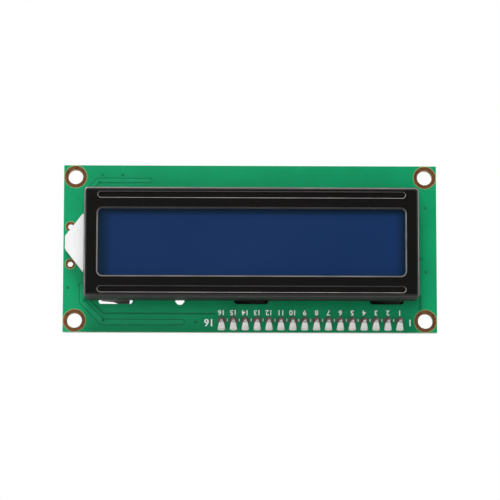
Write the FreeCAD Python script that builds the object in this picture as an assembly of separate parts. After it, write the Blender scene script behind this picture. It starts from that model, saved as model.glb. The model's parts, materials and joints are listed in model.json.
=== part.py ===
import FreeCAD, Part
import math
import os

# A two-row character display module: a green display board that carries a framed glass
# panel on its front, and a small black serial board that is soldered to its back on a
# sixteen-pin header. Millimetres. The display faces -Y and stands upright, with the header
# edge at the bottom (-Z). The origin is the centre of the four corner holes, on the front
# face of the display board, so the board fills y = 0 to board_thickness.

Vector = FreeCAD.Vector
BACK = Vector(0, 1, 0)

# Display board
board_width = 80.0
board_height = 36.0
board_thickness = 1.6
corner_hole_from_edge = 2.5
corner_hole_diameter = 3.2
corner_ring_diameter = 4.8
foil = 0.05
locating_hole_diameter = 1.9
locating_hole_offset_x = 15.0
locating_hole_inside_slots = 0.05

# Header of sixteen pins
pin_count = 16
pitch = 2.54
pin_size = 0.64
pin_row_edge = 2.5
first_pin_from_right = 8.0
pin_front_length = 4.3
pin_back_length = 1.9
pin_taper = 0.35
pin_tip_share = 0.5
pin_hole_diameter = 1.0
strip_size = 2.54
strip_notch_depth = 0.38
strip_notch_half_width = 0.30
strip_notch_tip_half_width = 0.15
joint_base_radius = 0.82
joint_waist_radius = 0.58
joint_top_radius = 0.44
joint_height = 1.2
joint_waist_share = 0.4
header_pad_half_width = 0.82
header_pad_above_pin = 1.05
header_pad_below_pin = 2.05
header_pad_corner = 0.45
front_joint_height = 1.5
front_joint_waist = (0.56, 0.6, 1.15, 0.25)
front_joint_top = (0.42, 0.42, 0.45, 0.15)
underside_joint_top_radius = 0.4
underside_joint_height = 0.8
joint_sides = 6
small_hole_sides = 8
ring_sides = 16
blob_sides = 28
blob_crown_shares = (0.8, 0.5, 0.2)

# Serial board
serial_gap = 3.34
serial_thickness = 1.2
serial_height = 18.8
serial_past_first_pin = 1.7
serial_past_last_pin = 1.7
serial_below_pins = 1.4

# Bezel
bezel_side_margin = 4.4
bezel_top_margin = 6.2
bezel_depth = 6.8
bezel_sheet = 0.45
bezel_corner_radius = 0.9
bezel_edge_radius = 0.75
bezel_center_x = 0.25
bezel_center_z = 0.6
window_from_bezel_side = 3.0
window_from_bezel_top = 4.65
window_radius = 1.0
window_lip_depth = 0.95
window_lip_bevel = 0.3
groove_width = 1.2
groove_depth = 0.3
groove_from_bezel_top = 1.7
tab_from_bezel_end = 6.6
tab_width = 6.0
tab_height = 2.7
tab_twist = 27.0
tab_twist_steps = 3
tab_twist_length_share = 0.55
tab_untwisted_length = 0.25
slot_length = 7.3
slot_width = 1.5
slot_corner = 0.4
slot_pad_border = 0.6
guide_port_width = 12.8
guide_port_depth = 3.5
guide_port_center_z = 0.9
right_port_width = 9.0
right_port_depth = 3.0
right_port_center_z = 1.2

# Display stack inside the bezel
polariser_thickness = 0.2
glass_thickness = 1.1
diffuser_thickness = 0.2
reflector_thickness = 0.15
housing_floor = 0.3
housing_wall = 0.6
housing_end_clearance = 0.9
stack_side_clearance = 0.35
strip_rubber_width = 1.8
rubber_from_bezel_end = 4.6
rubber_clearance = 0.2
polariser_overlap = 1.0
horn_wide = 12.2
horn_narrow = 2.7
horn_start_from_left = 4.2
horn_end_from_left = 0.5
horn_wall = 0.35
horn_overlap = 2.0
led_length = 1.0
led_width = 2.5
led_lead_thickness = 0.25
led_lead_width = 0.5
led_lead_stickout = 0.5
led_lead_top_share = 0.6
led_hole_diameter = 0.9
led_joint_radius = 0.75
led_joint_height = 0.45
led_joint_top_radius = 0.3
power_hole_diameter = 1.2
power_pad_size = 2.1
power_hole_from_edge = 1.5
power_hole_z = (4.7, -3.4)
spare_hole_diameter = 0.8
spare_hole_from_edge = 4.25
spare_hole_z = (2.06, -0.43)

# Parts on the back of the display board
blob_diameter = 10.8
blob_height = 0.9
blob_edge_height = 0.25
blob_from_left = 26.6
second_blob_from_right = 28.0
blob_center_z = -0.5
die_size = 3.2
die_thickness = 0.4
board_resistor_length = 3.2
board_resistor_width = 1.6
board_resistor_height = 0.55
board_resistor_from_last_pin = 13.9
board_resistor_from_edge = (2.4, 5.9)
small_footprint_pads = (
    (7.95, 6.5, 1.7, 2.4), (12.8, 6.5, 1.7, 2.4),
    (8.0, 3.1, 1.7, 2.3), (12.9, 3.1, 1.7, 2.3),
    (7.6, -5.1, 1.3, 1.2), (11.0, -5.1, 1.6, 1.2), (13.4, -5.1, 1.3, 1.2),
)
chip_footprint_from_left = (7.9, 13.6)
chip_footprint_z = (0.64, -0.63, -1.9, -3.17)
chip_footprint_pad = (2.0, 0.6)

# Parts on the serial board
trimmer_width = 6.9
trimmer_length = 6.6
trimmer_height = 4.9
trimmer_edge_bevel = 0.2
trimmer_standoff = 0.3
trimmer_foot_gap = 3.63
trimmer_from_first_pin = 8.6
trimmer_above_pins = 7.0
rotor_diameter = 3.0
rotor_depth = 1.5
rotor_clearance = 0.05
rotor_recess = 0.1
rotor_slot_width = 0.6
rotor_slot_length = 2.76
rotor_slot_depth = 0.6
trimmer_lead_diameter = 0.5
trimmer_hole_diameter = 0.8
trimmer_lead_spread = 2.54
lead_stub = 1.1
chip_body_width = 7.5
chip_body_length = 10.3
chip_body_height = 2.35
chip_standoff = 0.15
chip_lead_pitch = 1.27
chip_lead_count = 8
chip_lead_width = 0.42
chip_lead_thickness = 0.25
chip_lead_foot = 0.75
chip_lead_span = 10.3
chip_from_first_pin = 20.2
chip_above_pins = 8.3
chip_draft = 0.18
dimple_diameter = 1.0
dimple_from_side = 1.2
dimple_depth = 0.08
lead_line_share = 0.48
lead_root = 0.3
lead_shoulder_share = 0.45
lead_inner_bend = 0.3
lead_outer_bend = 0.5
side_header_pins = 4
side_header_edge_gap = -0.1
side_header_center_above_pins = 9.3
side_pin_reach = 8.1
pin_bend_radius = 0.5
pin_bend_above_strip = 0.02
jumper_header_pins = 2
jumper_header_edge_gap = 0.05
jumper_header_center_above_pins = 8.65
jumper_pin_reach = 7.45
jumper_cap_length = 5.6
jumper_cap_width = 5.0
jumper_cap_height = 2.5
jumper_cap_gap = 0.12
jumper_cap_bevel = 0.2
jumper_contact_from_mouth = 1.15
jumper_channel_clearance = 0.06
jumper_window_from_end = 0.9
jumper_window_length = 1.5
jumper_window_width = 2.2
jumper_contact_length = 3.2
jumper_contact_thickness = 0.2
transistor_size = (2.9, 1.3, 1.0)
transistor_lead_width = 0.42
transistor_lead_thickness = 0.13
transistor_lead_foot = 0.4
transistor_lead_offset = 0.95
transistor_span = 2.5
transistor_standoff = 0.08
transistor_draft = 0.08
transistor_from_left = 5.1
transistor_above_pins = 5.3
power_light_size = (1.5, 3.0, 0.9)
power_light_from_left = 4.5
power_light_above_pins = 10.9
chip_resistor_size = (1.25, 2.0, 0.5)
chip_resistor_places = ((11.9, 10.0), (9.25, 10.0), (6.95, 10.0), (9.25, 5.2))
flat_resistor_place = (11.2, 14.3)
capacitor_size = (1.25, 2.0, 0.85)
capacitor_place = (11.9, 5.2)
terminal_share = 0.25
terminal_skin = 0.04

# Places worked out from the sizes
board_back = board_thickness
board_left = -board_width / 2
board_right = board_width / 2
board_bottom = -board_height / 2
pin_row_z = board_bottom + pin_row_edge
first_pin_x = board_right - first_pin_from_right
pin_xs = [first_pin_x - pitch * i for i in range(pin_count)]
board_resistor_x = pin_xs[-1] - board_resistor_from_last_pin
blob_centers = (
    (board_left + blob_from_left, blob_center_z),
    (board_right - second_blob_from_right, blob_center_z),
)
serial_front = board_back + serial_gap
serial_back = serial_front + serial_thickness
serial_width = (pin_count - 1) * pitch + serial_past_first_pin + serial_past_last_pin
serial_right = first_pin_x + serial_past_first_pin
serial_left = serial_right - serial_width
serial_bottom = pin_row_z - serial_below_pins
serial_top = serial_bottom + serial_height
corner_spacing_x = board_width - 2 * corner_hole_from_edge
corner_spacing_z = board_height - 2 * corner_hole_from_edge
corner_holes = [
    (sx * corner_spacing_x / 2, sz * corner_spacing_z / 2) for sx in (-1, 1) for sz in (-1, 1)
]
bezel_width = board_width - 2 * bezel_side_margin
bezel_height = board_height - 2 * bezel_top_margin
window_width = bezel_width - 2 * window_from_bezel_side
window_height = bezel_height - 2 * window_from_bezel_top
groove_offset = bezel_height / 2 - groove_from_bezel_top
bezel_face = -bezel_depth
wall_mid = bezel_height / 2 - bezel_sheet / 2
tab_spacing = bezel_width / 2 - tab_from_bezel_end
tab_xs = [bezel_center_x + tab_spacing * i for i in (-1, 0, 1)]
tab_zs = [bezel_center_z + wall_mid * s for s in (1, -1)]
slot_from_bezel_center = bezel_height / 2
slot_zs = [bezel_center_z + slot_from_bezel_center * s for s in (1, -1)]
locating_hole_from_bezel_center = slot_from_bezel_center - locating_hole_inside_slots
polariser_front = bezel_face + window_lip_depth
front_glass_front = polariser_front + polariser_thickness
rear_glass_front = front_glass_front + glass_thickness
rear_polariser_front = rear_glass_front + glass_thickness
diffuser_front = rear_polariser_front + polariser_thickness
guide_front = diffuser_front + diffuser_thickness
guide_back = -housing_floor - reflector_thickness
inner_half_width = bezel_width / 2 - bezel_sheet - stack_side_clearance
inner_half_height = bezel_height / 2 - bezel_sheet - stack_side_clearance
housing_half_width = inner_half_width - housing_end_clearance
housing_half_height = inner_half_height - strip_rubber_width - rubber_clearance
strip_rubber_length = bezel_width - 2 * rubber_from_bezel_end
horn_start_x = board_left + horn_start_from_left
horn_end_x = board_left + horn_end_from_left
led_x = horn_end_x + horn_wall + led_length / 2
led_lead_zs = [
    guide_port_center_z + s * (led_width + led_lead_thickness) / 2 for s in (1, -1)
]
trimmer_x = first_pin_x - trimmer_from_first_pin
trimmer_z = pin_row_z + trimmer_above_pins
trimmer_base = serial_back
trimmer_top = trimmer_base + trimmer_height
chip_x = first_pin_x - chip_from_first_pin
chip_z = pin_row_z + chip_above_pins
side_header_x = serial_right - side_header_edge_gap - strip_size / 2
side_header_z = pin_row_z + side_header_center_above_pins
jumper_header_x = serial_left + jumper_header_edge_gap + strip_size / 2
jumper_header_z = pin_row_z + jumper_header_center_above_pins
jumper_pin_end = jumper_header_x - jumper_pin_reach
jumper_cap_right = jumper_header_x - strip_size / 2 - jumper_cap_gap
bent_pin_y = serial_back + strip_size + pin_bend_above_strip + pin_bend_radius


def block(x0, x1, y0, y1, z0, z1):
    """A box from its two corners."""
    return Part.makeBox(x1 - x0, y1 - y0, z1 - z0, Vector(x0, y0, z0))


def centered_block(x, z, width, height, y0, y1):
    """A box centred on (x, z), from y0 to y1."""
    return block(x - width / 2, x + width / 2, y0, y1, z - height / 2, z + height / 2)


def rod(x, z, diameter, y0, y1):
    """A round bar along Y."""
    return Part.makeCylinder(diameter / 2, y1 - y0, Vector(x, y0, z), BACK)


def prism(points, y0, y1):
    """The outline given by (x, z) points, as thick as y0 to y1."""
    corners = [Vector(x, y0, z) for x, z in points]
    face = Part.Face(Part.makePolygon(corners + corners[:1]))
    return face.extrude(Vector(0, y1 - y0, 0))


def around(x, z, y, radius, sides):
    """The corners of a regular outline round (x, z), with a flat side facing each way."""
    steps = [(i + 0.5) * 2 * math.pi / sides for i in range(sides)]
    return [Vector(x + radius * math.cos(a), y, z + radius * math.sin(a)) for a in steps]


def rectangle(x, z, y, width, height):
    """The corners of a rectangle centred on (x, z)."""
    corners = ((-1, -1), (1, -1), (1, 1), (-1, 1))
    return [Vector(x + a * width / 2, y, z + b * height / 2) for a, b in corners]


def skin(sections, split=False):
    """A solid with flat faces between outlines of equal length; split cuts each side in two."""
    faces = [Part.Face(Part.makePolygon(s + s[:1])) for s in (sections[0], sections[-1])]
    for low, high in zip(sections, sections[1:]):
        for i in range(len(low)):
            a, b, c, d = low[i - 1], low[i], high[i], high[i - 1]
            sides = [(a, b, c), (a, c, d)] if split else [(a, b, c, d)]
            faces += [Part.Face(Part.makePolygon(list(side) + [side[0]])) for side in sides]
    solid = Part.Solid(Part.Shell(faces))
    if solid.Volume < 0:
        solid.reverse()
    return solid


def small_round(x, z, diameter, y0, y1):
    """A small hole or wire as a prism with a few flat sides, which touch the true circle."""
    reach = diameter / 2 / math.cos(math.pi / small_hole_sides)
    return skin([around(x, z, y, reach, small_hole_sides) for y in (y0, y1)])


def chamfered_plate(x, z, width, height, corner, y0, y1):
    """A plate centred on (x, z) with its corners cut off."""
    w, h, c = width / 2, height / 2, corner
    outline = [
        (w - c, -h), (w, c - h), (w, h - c), (w - c, h), (c - w, h), (-w, h - c), (-w, c - h),
        (c - w, -h),
    ]
    return prism([(x + a, z + b) for a, b in outline], y0, y1)


def rounded_plate(x, z, width, height, radius, y0, y1):
    """A plate centred on (x, z) with round corners."""
    plate = centered_block(x, z, width, height, y0, y1)
    upright = [e for e in plate.Edges if abs(e.tangentAt(e.FirstParameter).y) > 0.99]
    return plate.makeFillet(radius, upright)


def fuse(shapes):
    """One solid made of all the shapes."""
    joined = shapes[0].multiFuse(shapes[1:]) if len(shapes) > 1 else shapes[0]
    return joined.removeSplitter()


def write(name, shapes):
    """One sub-part, as one solid or a group of separate solids."""
    if not isinstance(shapes, list):
        shapes = [shapes]
    solids = [solid for shape in shapes for solid in shape.Solids]
    whole = solids[0] if len(solids) == 1 else Part.makeCompound(solids)
    if not whole.isValid():
        print("not valid:", name)
    whole.exportStep("parts/" + name + ".step")


def display_board():
    """The green board, with every hole and slot that goes through it."""
    board = block(board_left, board_right, 0, board_back, board_bottom, -board_bottom)
    y0, y1 = -1.0, board_back + 1.0
    holes = [rod(x, z, corner_hole_diameter, y0, y1) for x, z in corner_holes]
    holes += [small_round(x, pin_row_z, pin_hole_diameter, y0, y1) for x in pin_xs]
    for s in (-1, 1):
        z = bezel_center_z + s * locating_hole_from_bezel_center
        holes.append(small_round(s * locating_hole_offset_x, z, locating_hole_diameter, y0, y1))
    for z in power_hole_z:
        holes.append(small_round(board_left + power_hole_from_edge, z, power_hole_diameter, y0, y1))
    for z in spare_hole_z:
        holes.append(small_round(board_left + spare_hole_from_edge, z, spare_hole_diameter, y0, y1))
    for z in led_lead_zs:
        holes.append(small_round(led_x, z, led_hole_diameter, y0, y1))
    for x in tab_xs:
        for z in slot_zs:
            holes.append(chamfered_plate(x, z, slot_length, slot_width, slot_corner, y0, y1))
    return board.cut(Part.makeCompound(holes))


def corner_rings():
    """Bare copper rings round the corner holes, on both faces."""
    rings = []
    for x, z in corner_holes:
        for y0 in (-foil, board_back):
            hole_reach = corner_hole_diameter / 2 / math.cos(math.pi / ring_sides)
            ring = skin([
                around(x, z, y, corner_ring_diameter / 2, ring_sides) for y in (y0, y0 + foil)])
            hole = skin([around(x, z, y, hole_reach, ring_sides) for y in (y0 - 1, y0 + 1)])
            rings.append(ring.cut(hole))
    return rings


def slot_pads():
    """Tinned pads round the tab slots, on the back face."""
    pads = []
    for x in tab_xs:
        for z in slot_zs:
            border = 2 * slot_pad_border
            pad = chamfered_plate(
                x, z, slot_length + border, slot_width + border, slot_corner + slot_pad_border / 2,
                board_back, board_back + foil)
            slot = chamfered_plate(
                x, z, slot_length, slot_width, slot_corner, board_back - 1, board_back + 1)
            pads.append(pad.cut(slot))
    return pads


def power_pads():
    """Pads for the two light wires: round in front up to the housing's neck, square behind."""
    pads = []
    x = board_left + power_hole_from_edge
    neck = prism(horn_outline(0, horn_end_x), -1, 0)
    for z in power_hole_z:
        hole = small_round(x, z, power_hole_diameter, -1, board_back + 1)
        front = skin([around(x, z, y, power_pad_size / 2, ring_sides) for y in (-foil, 0)])
        pads.append(front.cut(hole).cut(neck))
        pads.append(centered_block(
            x, z, power_pad_size, power_pad_size, board_back, board_back + foil).cut(hole))
    return pads


def bare_footprints():
    """Solder pads of parts that this version leaves out."""
    pads = [
        centered_block(board_left + x, z, w, h, board_back, board_back + foil)
        for x, z, w, h in small_footprint_pads
    ]
    for x in chip_footprint_from_left:
        for z in chip_footprint_z:
            pads.append(centered_block(
                board_left + x, z, *chip_footprint_pad, board_back, board_back + foil))
    return pads


def twisted_tab(x, z):
    """A tab that goes straight through the board and is then twisted to lock it."""
    lower_y = -2 * bezel_sheet
    straight_end = board_back + tab_untwisted_length
    sections = []
    height = tab_height - tab_untwisted_length
    for step in range(tab_twist_steps + 1):
        turn = math.radians(tab_twist * step / tab_twist_steps)
        y = straight_end + height * tab_twist_length_share * step / tab_twist_steps
        sections.append(tab_section(x, z, y, turn))
    sections.append(tab_section(x, z, board_back + tab_height, math.radians(tab_twist)))
    straight = centered_block(x, z, tab_width, bezel_sheet, lower_y, straight_end)
    return straight.fuse(skin(sections, split=True))


def tab_section(x, z, y, turn):
    """The cross-section of a tab at height y, turned about the tab's own axis."""
    corners = []
    for a, b in ((-1, -1), (1, -1), (1, 1), (-1, 1)):
        u, v = a * tab_width / 2, b * bezel_sheet / 2
        corners.append(Vector(
            x + u * math.cos(turn) + v * math.sin(turn), y, z - u * math.sin(turn) + v * math.cos(turn)))
    return corners


def bezel():
    """One pressed sheet: rolled edges, a lipped window, two grooves and six twisted tabs."""
    cx, cz, t = bezel_center_x, bezel_center_z, bezel_sheet
    outer = rounded_plate(cx, cz, bezel_width, bezel_height, bezel_corner_radius, bezel_face, 0)
    outer = fillet_front(outer, bezel_face, bezel_edge_radius)
    inner = rounded_plate(
        cx, cz, bezel_width - 2 * t, bezel_height - 2 * t, bezel_corner_radius - t, bezel_face + t, 1)
    shell = outer.cut(inner)
    window = rounded_plate(cx, cz, window_width, window_height, window_radius, bezel_face - 1, 0)
    lip = rounded_plate(
        cx, cz, window_width + 2 * t, window_height + 2 * t, window_radius + t,
        bezel_face + t / 2, bezel_face + window_lip_depth)
    shell = shell.fuse(lip).cut(window)
    rim = [e for e in shell.Edges if on_window_rim(e)]
    shell = shell.makeChamfer(window_lip_bevel, rim)
    for s in (-1, 1):
        z = cz + s * groove_offset
        bump = chamfered_plate(
            cx, z, window_width + t, groove_width + t, groove_width / 3,
            bezel_face + t / 2, bezel_face + t + groove_depth)
        groove = chamfered_plate(
            cx, z, window_width, groove_width, groove_width / 3, bezel_face - 1, bezel_face + groove_depth)
        shell = shell.fuse(bump).cut(groove)
    left_port = block(
        cx - bezel_width / 2 - 1, cx - bezel_width / 2 + bezel_corner_radius, -guide_port_depth, 1,
        guide_port_center_z - guide_port_width / 2, guide_port_center_z + guide_port_width / 2)
    right_port = block(
        cx + bezel_width / 2 - bezel_corner_radius, cx + bezel_width / 2 + 1, -right_port_depth, 1,
        right_port_center_z - right_port_width / 2, right_port_center_z + right_port_width / 2)
    shell = shell.cut(Part.makeCompound([left_port, right_port]))
    tabs = [twisted_tab(x, z) for x in tab_xs for z in tab_zs]
    return fuse([shell] + tabs)


def fillet_front(plate, y, radius):
    """Rounds every edge of a plate that lies in the plane at y."""
    edges = [e for e in plate.Edges if all(abs(v.Y - y) < 1e-6 for v in e.Vertexes)]
    return plate.makeFillet(radius, edges)


def on_window_rim(edge):
    """Whether an edge is on the front rim of the bezel's window."""
    if any(abs(v.Y - bezel_face) > 1e-6 for v in edge.Vertexes):
        return False
    box = edge.BoundBox
    return (abs(box.Center.x - bezel_center_x) < window_width / 2 + 0.01
            and abs(box.Center.z - bezel_center_z) < window_height / 2 + 0.01)


def layer(half_width, half_height, front, thickness):
    """A flat layer of the display stack, centred in the bezel."""
    return centered_block(
        bezel_center_x, bezel_center_z, 2 * half_width, 2 * half_height, front, front + thickness)


def horn_outline(inset, end_x):
    """The tapering neck that brings the light in through the bezel's left port."""
    root_x = bezel_center_x - housing_half_width + horn_overlap
    slope = (horn_wide - horn_narrow) / 2 / (horn_start_x - horn_end_x)
    wide = horn_wide / 2 - inset
    narrow = horn_narrow / 2 - inset + slope * (end_x - horn_end_x)
    z = guide_port_center_z
    return [(root_x, z - wide), (root_x, z + wide), (horn_start_x, z + wide), (end_x, z + narrow),
            (end_x, z - narrow), (horn_start_x, z - wide)]


def backlight_housing():
    """The white tray round the light guide, with its tapered neck."""
    tray = layer(housing_half_width, housing_half_height, guide_front, -guide_front)
    neck = prism(horn_outline(0, horn_end_x), guide_front, 0)
    pocket = layer(
        housing_half_width - housing_wall, housing_half_height - housing_wall, guide_front - 1,
        1 - guide_front - housing_floor)
    neck_pocket = prism(
        horn_outline(horn_wall, horn_end_x + horn_wall), guide_front + horn_wall, -housing_floor)
    lead_opening = centered_block(
        led_x, guide_port_center_z, led_length, led_width + 4 * led_lead_thickness, -housing_floor - 0.1, 1)
    return tray.fuse(neck).cut(pocket).cut(neck_pocket).cut(lead_opening).removeSplitter()


def light_guide():
    """The clear plate that spreads the light, with its neck."""
    plate = layer(
        housing_half_width - housing_wall, housing_half_height - housing_wall, guide_front,
        guide_back - guide_front)
    neck = prism(horn_outline(horn_wall, horn_end_x), guide_front + horn_wall, guide_back)
    led_side = led_x + led_length / 2
    neck = neck.cut(block(-board_width, led_side, guide_front - 1, 1, -board_height, board_height))
    return fuse([plate, neck])


def led_leads():
    """The two lead frames of the edge light, through the board."""
    leads = []
    for z in led_lead_zs:
        leads.append(block(
            led_x - led_lead_width / 2, led_x + led_lead_width / 2,
            guide_front * led_lead_top_share, board_back + led_lead_stickout,
            z - led_lead_thickness / 2, z + led_lead_thickness / 2))
    return leads


def dome(x, z, radius, y0, edge_height, height):
    """A round blob with a low rim and a gently crowned top."""
    rise = height - edge_height
    crown_radius = (radius ** 2 + rise ** 2) / (2 * rise)
    levels = [(radius, 0), (radius, edge_height)]
    for share in blob_crown_shares:
        r = radius * share
        levels.append((r, height - crown_radius + math.sqrt(crown_radius ** 2 - r ** 2)))
    return skin([around(x, z, y0 + y, r, blob_sides) for r, y in levels])


def solder_joint(x, z, y, direction, base_radius, top_radius, height, pin):
    """A solder joint that rises from a board to wet a pin; direction is 1 to the back, -1 to the front."""
    waist = top_radius + (joint_waist_radius - joint_top_radius) * (base_radius - top_radius) / (
        joint_base_radius - joint_top_radius)
    levels = ((base_radius, 0), (waist, height * joint_waist_share), (top_radius, height))
    cone = skin([around(x, z, y + direction * h, r, joint_sides) for r, h in levels])
    return cone.cut(pin)


def oblong(x, z, y, half_width, above, below, corner):
    """The corners of a long outline round (x, z) that reaches further down than up."""
    side = half_width - corner
    points = [
        (half_width, corner - below), (half_width, above - corner), (side, above), (-side, above),
        (-half_width, above - corner), (-half_width, corner - below), (-side, -below), (side, -below),
    ]
    return [Vector(x + a, y, z + b) for a, b in points]


def front_joint(x, pin):
    """The solder on one long header pad in front, which rises to the pin."""
    pad = (header_pad_half_width, header_pad_above_pin, header_pad_below_pin, header_pad_corner)
    levels = (
        (0, pad), (front_joint_height * joint_waist_share, front_joint_waist),
        (front_joint_height, front_joint_top),
    )
    return skin([oblong(x, pin_row_z, -height, *outline) for height, outline in levels]).cut(pin)


def straight_pin(x, z, y0, y1):
    """A square pin with both ends tapered."""
    tip = pin_size * pin_tip_share
    levels = ((y0, tip), (y0 + pin_taper, pin_size), (y1 - pin_taper, pin_size), (y1, tip))
    return skin([rectangle(x, z, y, size, size) for y, size in levels])


def header_strip(count, x, z, along_x, y0):
    """The plastic of a pin header: square segments joined at narrow necks."""
    half = strip_size / 2
    length = count * pitch
    if along_x:
        body = centered_block(x, z, length, strip_size, y0, y0 + strip_size)
    else:
        body = centered_block(x, z, strip_size, length, y0, y0 + strip_size)
    notches = []
    for i in range(1, count):
        s = -length / 2 + i * pitch
        for side in (-1, 1):
            edge, tip = side * (half + 0.01), side * (half - strip_notch_depth)
            wide, narrow = strip_notch_half_width, strip_notch_tip_half_width
            outline = [(s - wide, edge), (s + wide, edge), (s + narrow, tip), (s - narrow, tip)]
            if along_x:
                outline = [(x + a, z + b) for a, b in outline]
            else:
                outline = [(x + b, z + a) for a, b in outline]
            notches.append(prism(outline, y0 - 1, y0 + strip_size + 1))
    return body.cut(Part.makeCompound(notches))


def pin_hole(x, z, y0, y1):
    """The square hole that a pin passes through."""
    return centered_block(x, z, pin_size, pin_size, y0, y1)


def bent_pin(x, z, y0, height, end_x):
    """A square pin that rises from y0, turns through a right angle and runs along X to end_x."""
    side = 1 if end_x > x else -1
    half = pin_size / 2
    r_in, r_out = pin_bend_radius - half, pin_bend_radius + half
    turn_x = x + side * pin_bend_radius
    turn_y = height - pin_bend_radius
    diagonal = math.sqrt(0.5)
    z0 = z - half

    def at(px, py):
        return Vector(px, py, z0)

    def arc(radius):
        start = at(turn_x - side * radius, turn_y)
        middle = at(turn_x - side * radius * diagonal, turn_y + radius * diagonal)
        end = at(turn_x, turn_y + radius)
        return start, middle, end

    outer, inner = arc(r_out), arc(r_in)
    tip = pin_size * pin_tip_share / 2
    end_root = end_x - side * pin_taper
    outline = Part.Wire([
        Part.makeLine(at(x - side * half, y0), outer[0]),
        Part.Arc(*outer).toShape(),
        Part.makeLine(outer[2], at(end_root, height + half)),
        Part.makeLine(at(end_root, height + half), at(end_x, height + tip)),
        Part.makeLine(at(end_x, height + tip), at(end_x, height - tip)),
        Part.makeLine(at(end_x, height - tip), at(end_root, height - half)),
        Part.makeLine(at(end_root, height - half), inner[2]),
        Part.Arc(inner[2], inner[1], inner[0]).toShape(),
        Part.makeLine(inner[0], at(x + side * half, y0)),
        Part.makeLine(at(x + side * half, y0), at(x - side * half, y0)),
    ])
    return Part.Face(outline).extrude(Vector(0, 0, pin_size))


def lead_profile(side, y_board, y_exit, x_body, x_toe, foot, thickness):
    """The gull-wing outline of a chip lead in the XY plane, from the body out and down."""
    knee_x = x_toe - side * foot
    out = x_body + side * abs(knee_x - x_body) * lead_shoulder_share
    root = x_body - side * lead_root
    t = thickness
    inner, outer = side * t * lead_inner_bend, side * t * lead_outer_bend
    points = [
        (root, y_exit - t / 2), (out - inner, y_exit - t / 2), (knee_x - inner, y_board),
        (x_toe, y_board), (x_toe, y_board + t), (knee_x + outer, y_board + t),
        (out + outer, y_exit + t / 2), (root, y_exit + t / 2),
    ]
    return points


def lead(points, z, width):
    """A flat lead, as wide as width, that follows an outline in the XY plane."""
    corners = [Vector(x, y, z - width / 2) for x, y in points]
    return Part.Face(Part.makePolygon(corners + corners[:1])).extrude(Vector(0, 0, width))


def moulded_body(x, z, width, length, y0, height, draft):
    """A moulded chip body whose four sides lean in above and below the lead line."""
    levels = ((y0, draft), (y0 + height * lead_line_share, 0), (y0 + height, draft))
    return skin([rectangle(x, z, y, width - 2 * inset, length - 2 * inset) for y, inset in levels])


def expander_chip():
    """The wide sixteen-lead chip and its leads."""
    base = serial_back + chip_standoff
    height = chip_body_height - chip_standoff
    body = moulded_body(chip_x, chip_z, chip_body_width, chip_body_length, base, height, chip_draft)
    dimple = rod(
        chip_x + chip_body_width / 2 - dimple_from_side,
        chip_z + chip_body_length / 2 - dimple_from_side, dimple_diameter,
        serial_back + chip_body_height - dimple_depth, serial_back + chip_body_height + 1)
    body = body.cut(dimple)
    exit_y = base + height * lead_line_share
    leads = []
    for side in (-1, 1):
        x_body = chip_x + side * chip_body_width / 2
        points = lead_profile(
            side, serial_back, exit_y, x_body, chip_x + side * chip_lead_span / 2, chip_lead_foot,
            chip_lead_thickness)
        for i in range(chip_lead_count):
            z = chip_z + (i - (chip_lead_count - 1) / 2) * chip_lead_pitch
            leads.append(lead(points, z, chip_lead_width))
    body = body.cut(Part.makeCompound(leads))
    return body, leads


def transistor():
    """The small three-lead regulator or transistor."""
    width, length, height = transistor_size
    x = serial_left + transistor_from_left
    z = pin_row_z + transistor_above_pins
    base = serial_back + transistor_standoff
    height -= transistor_standoff
    body = moulded_body(x, z, width, length, base, height, transistor_draft)
    exit_y = base + height * lead_line_share
    leads = []
    for side, offsets in ((1, (0,)), (-1, (-transistor_lead_offset, transistor_lead_offset))):
        points = lead_profile(
            side, serial_back, exit_y, side * length / 2, side * transistor_span / 2,
            transistor_lead_foot, transistor_lead_thickness)
        for dx in offsets:
            corners = [Vector(x + dx - transistor_lead_width / 2, y, z + v) for v, y in points]
            face = Part.Face(Part.makePolygon(corners + corners[:1]))
            leads.append(face.extrude(Vector(transistor_lead_width, 0, 0)))
    return body.cut(Part.makeCompound(leads)), leads


def capped_chip(x, z, size, y0):
    """A surface-mount chip: a body between two plated ends."""
    width, length, height = size
    cap = (length if length > width else width) * terminal_share
    body_w = width - 2 * terminal_skin
    if length > width:
        body = centered_block(x, z, body_w, length - 2 * cap, y0 + terminal_skin, y0 + height)
        ends = [
            centered_block(x, z + s * (length - cap) / 2, width, cap, y0, y0 + height + terminal_skin)
            for s in (-1, 1)
        ]
    else:
        body = centered_block(
            x, z, width - 2 * cap, length - 2 * terminal_skin, y0 + terminal_skin, y0 + height)
        ends = [
            centered_block(x + s * (width - cap) / 2, z, cap, length, y0, y0 + height + terminal_skin)
            for s in (-1, 1)
        ]
    return body, ends


def trimmer():
    """The square blue trimmer: housing, turning rotor and three leads."""
    housing = chamfered_plate(
        trimmer_x, trimmer_z, trimmer_width, trimmer_length, trimmer_edge_bevel, trimmer_base, trimmer_top)
    seat_y = trimmer_top - rotor_depth - rotor_recess
    bore = rod(trimmer_x, trimmer_z, rotor_diameter + 2 * rotor_clearance, seat_y, trimmer_top + 1)
    floor_cut = centered_block(
        trimmer_x, trimmer_z, trimmer_width + 1, trimmer_foot_gap, trimmer_base - 1,
        trimmer_base + trimmer_standoff)
    housing = housing.cut(Part.makeCompound([bore, floor_cut]))
    disc = rod(trimmer_x, trimmer_z, rotor_diameter, seat_y + rotor_clearance, trimmer_top - rotor_recess)
    slot = centered_block(
        trimmer_x, trimmer_z, rotor_slot_width, rotor_slot_length,
        trimmer_top - rotor_recess - rotor_slot_depth, trimmer_top + 1)
    rotor = disc.cut(slot)
    leads = [
        small_round(trimmer_x + dx, trimmer_z + dz, trimmer_lead_diameter, serial_front - lead_stub,
                   trimmer_base + trimmer_standoff)
        for dx, dz in trimmer_lead_offsets()
    ]
    return housing.cut(Part.makeCompound(leads)), rotor, leads


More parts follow.
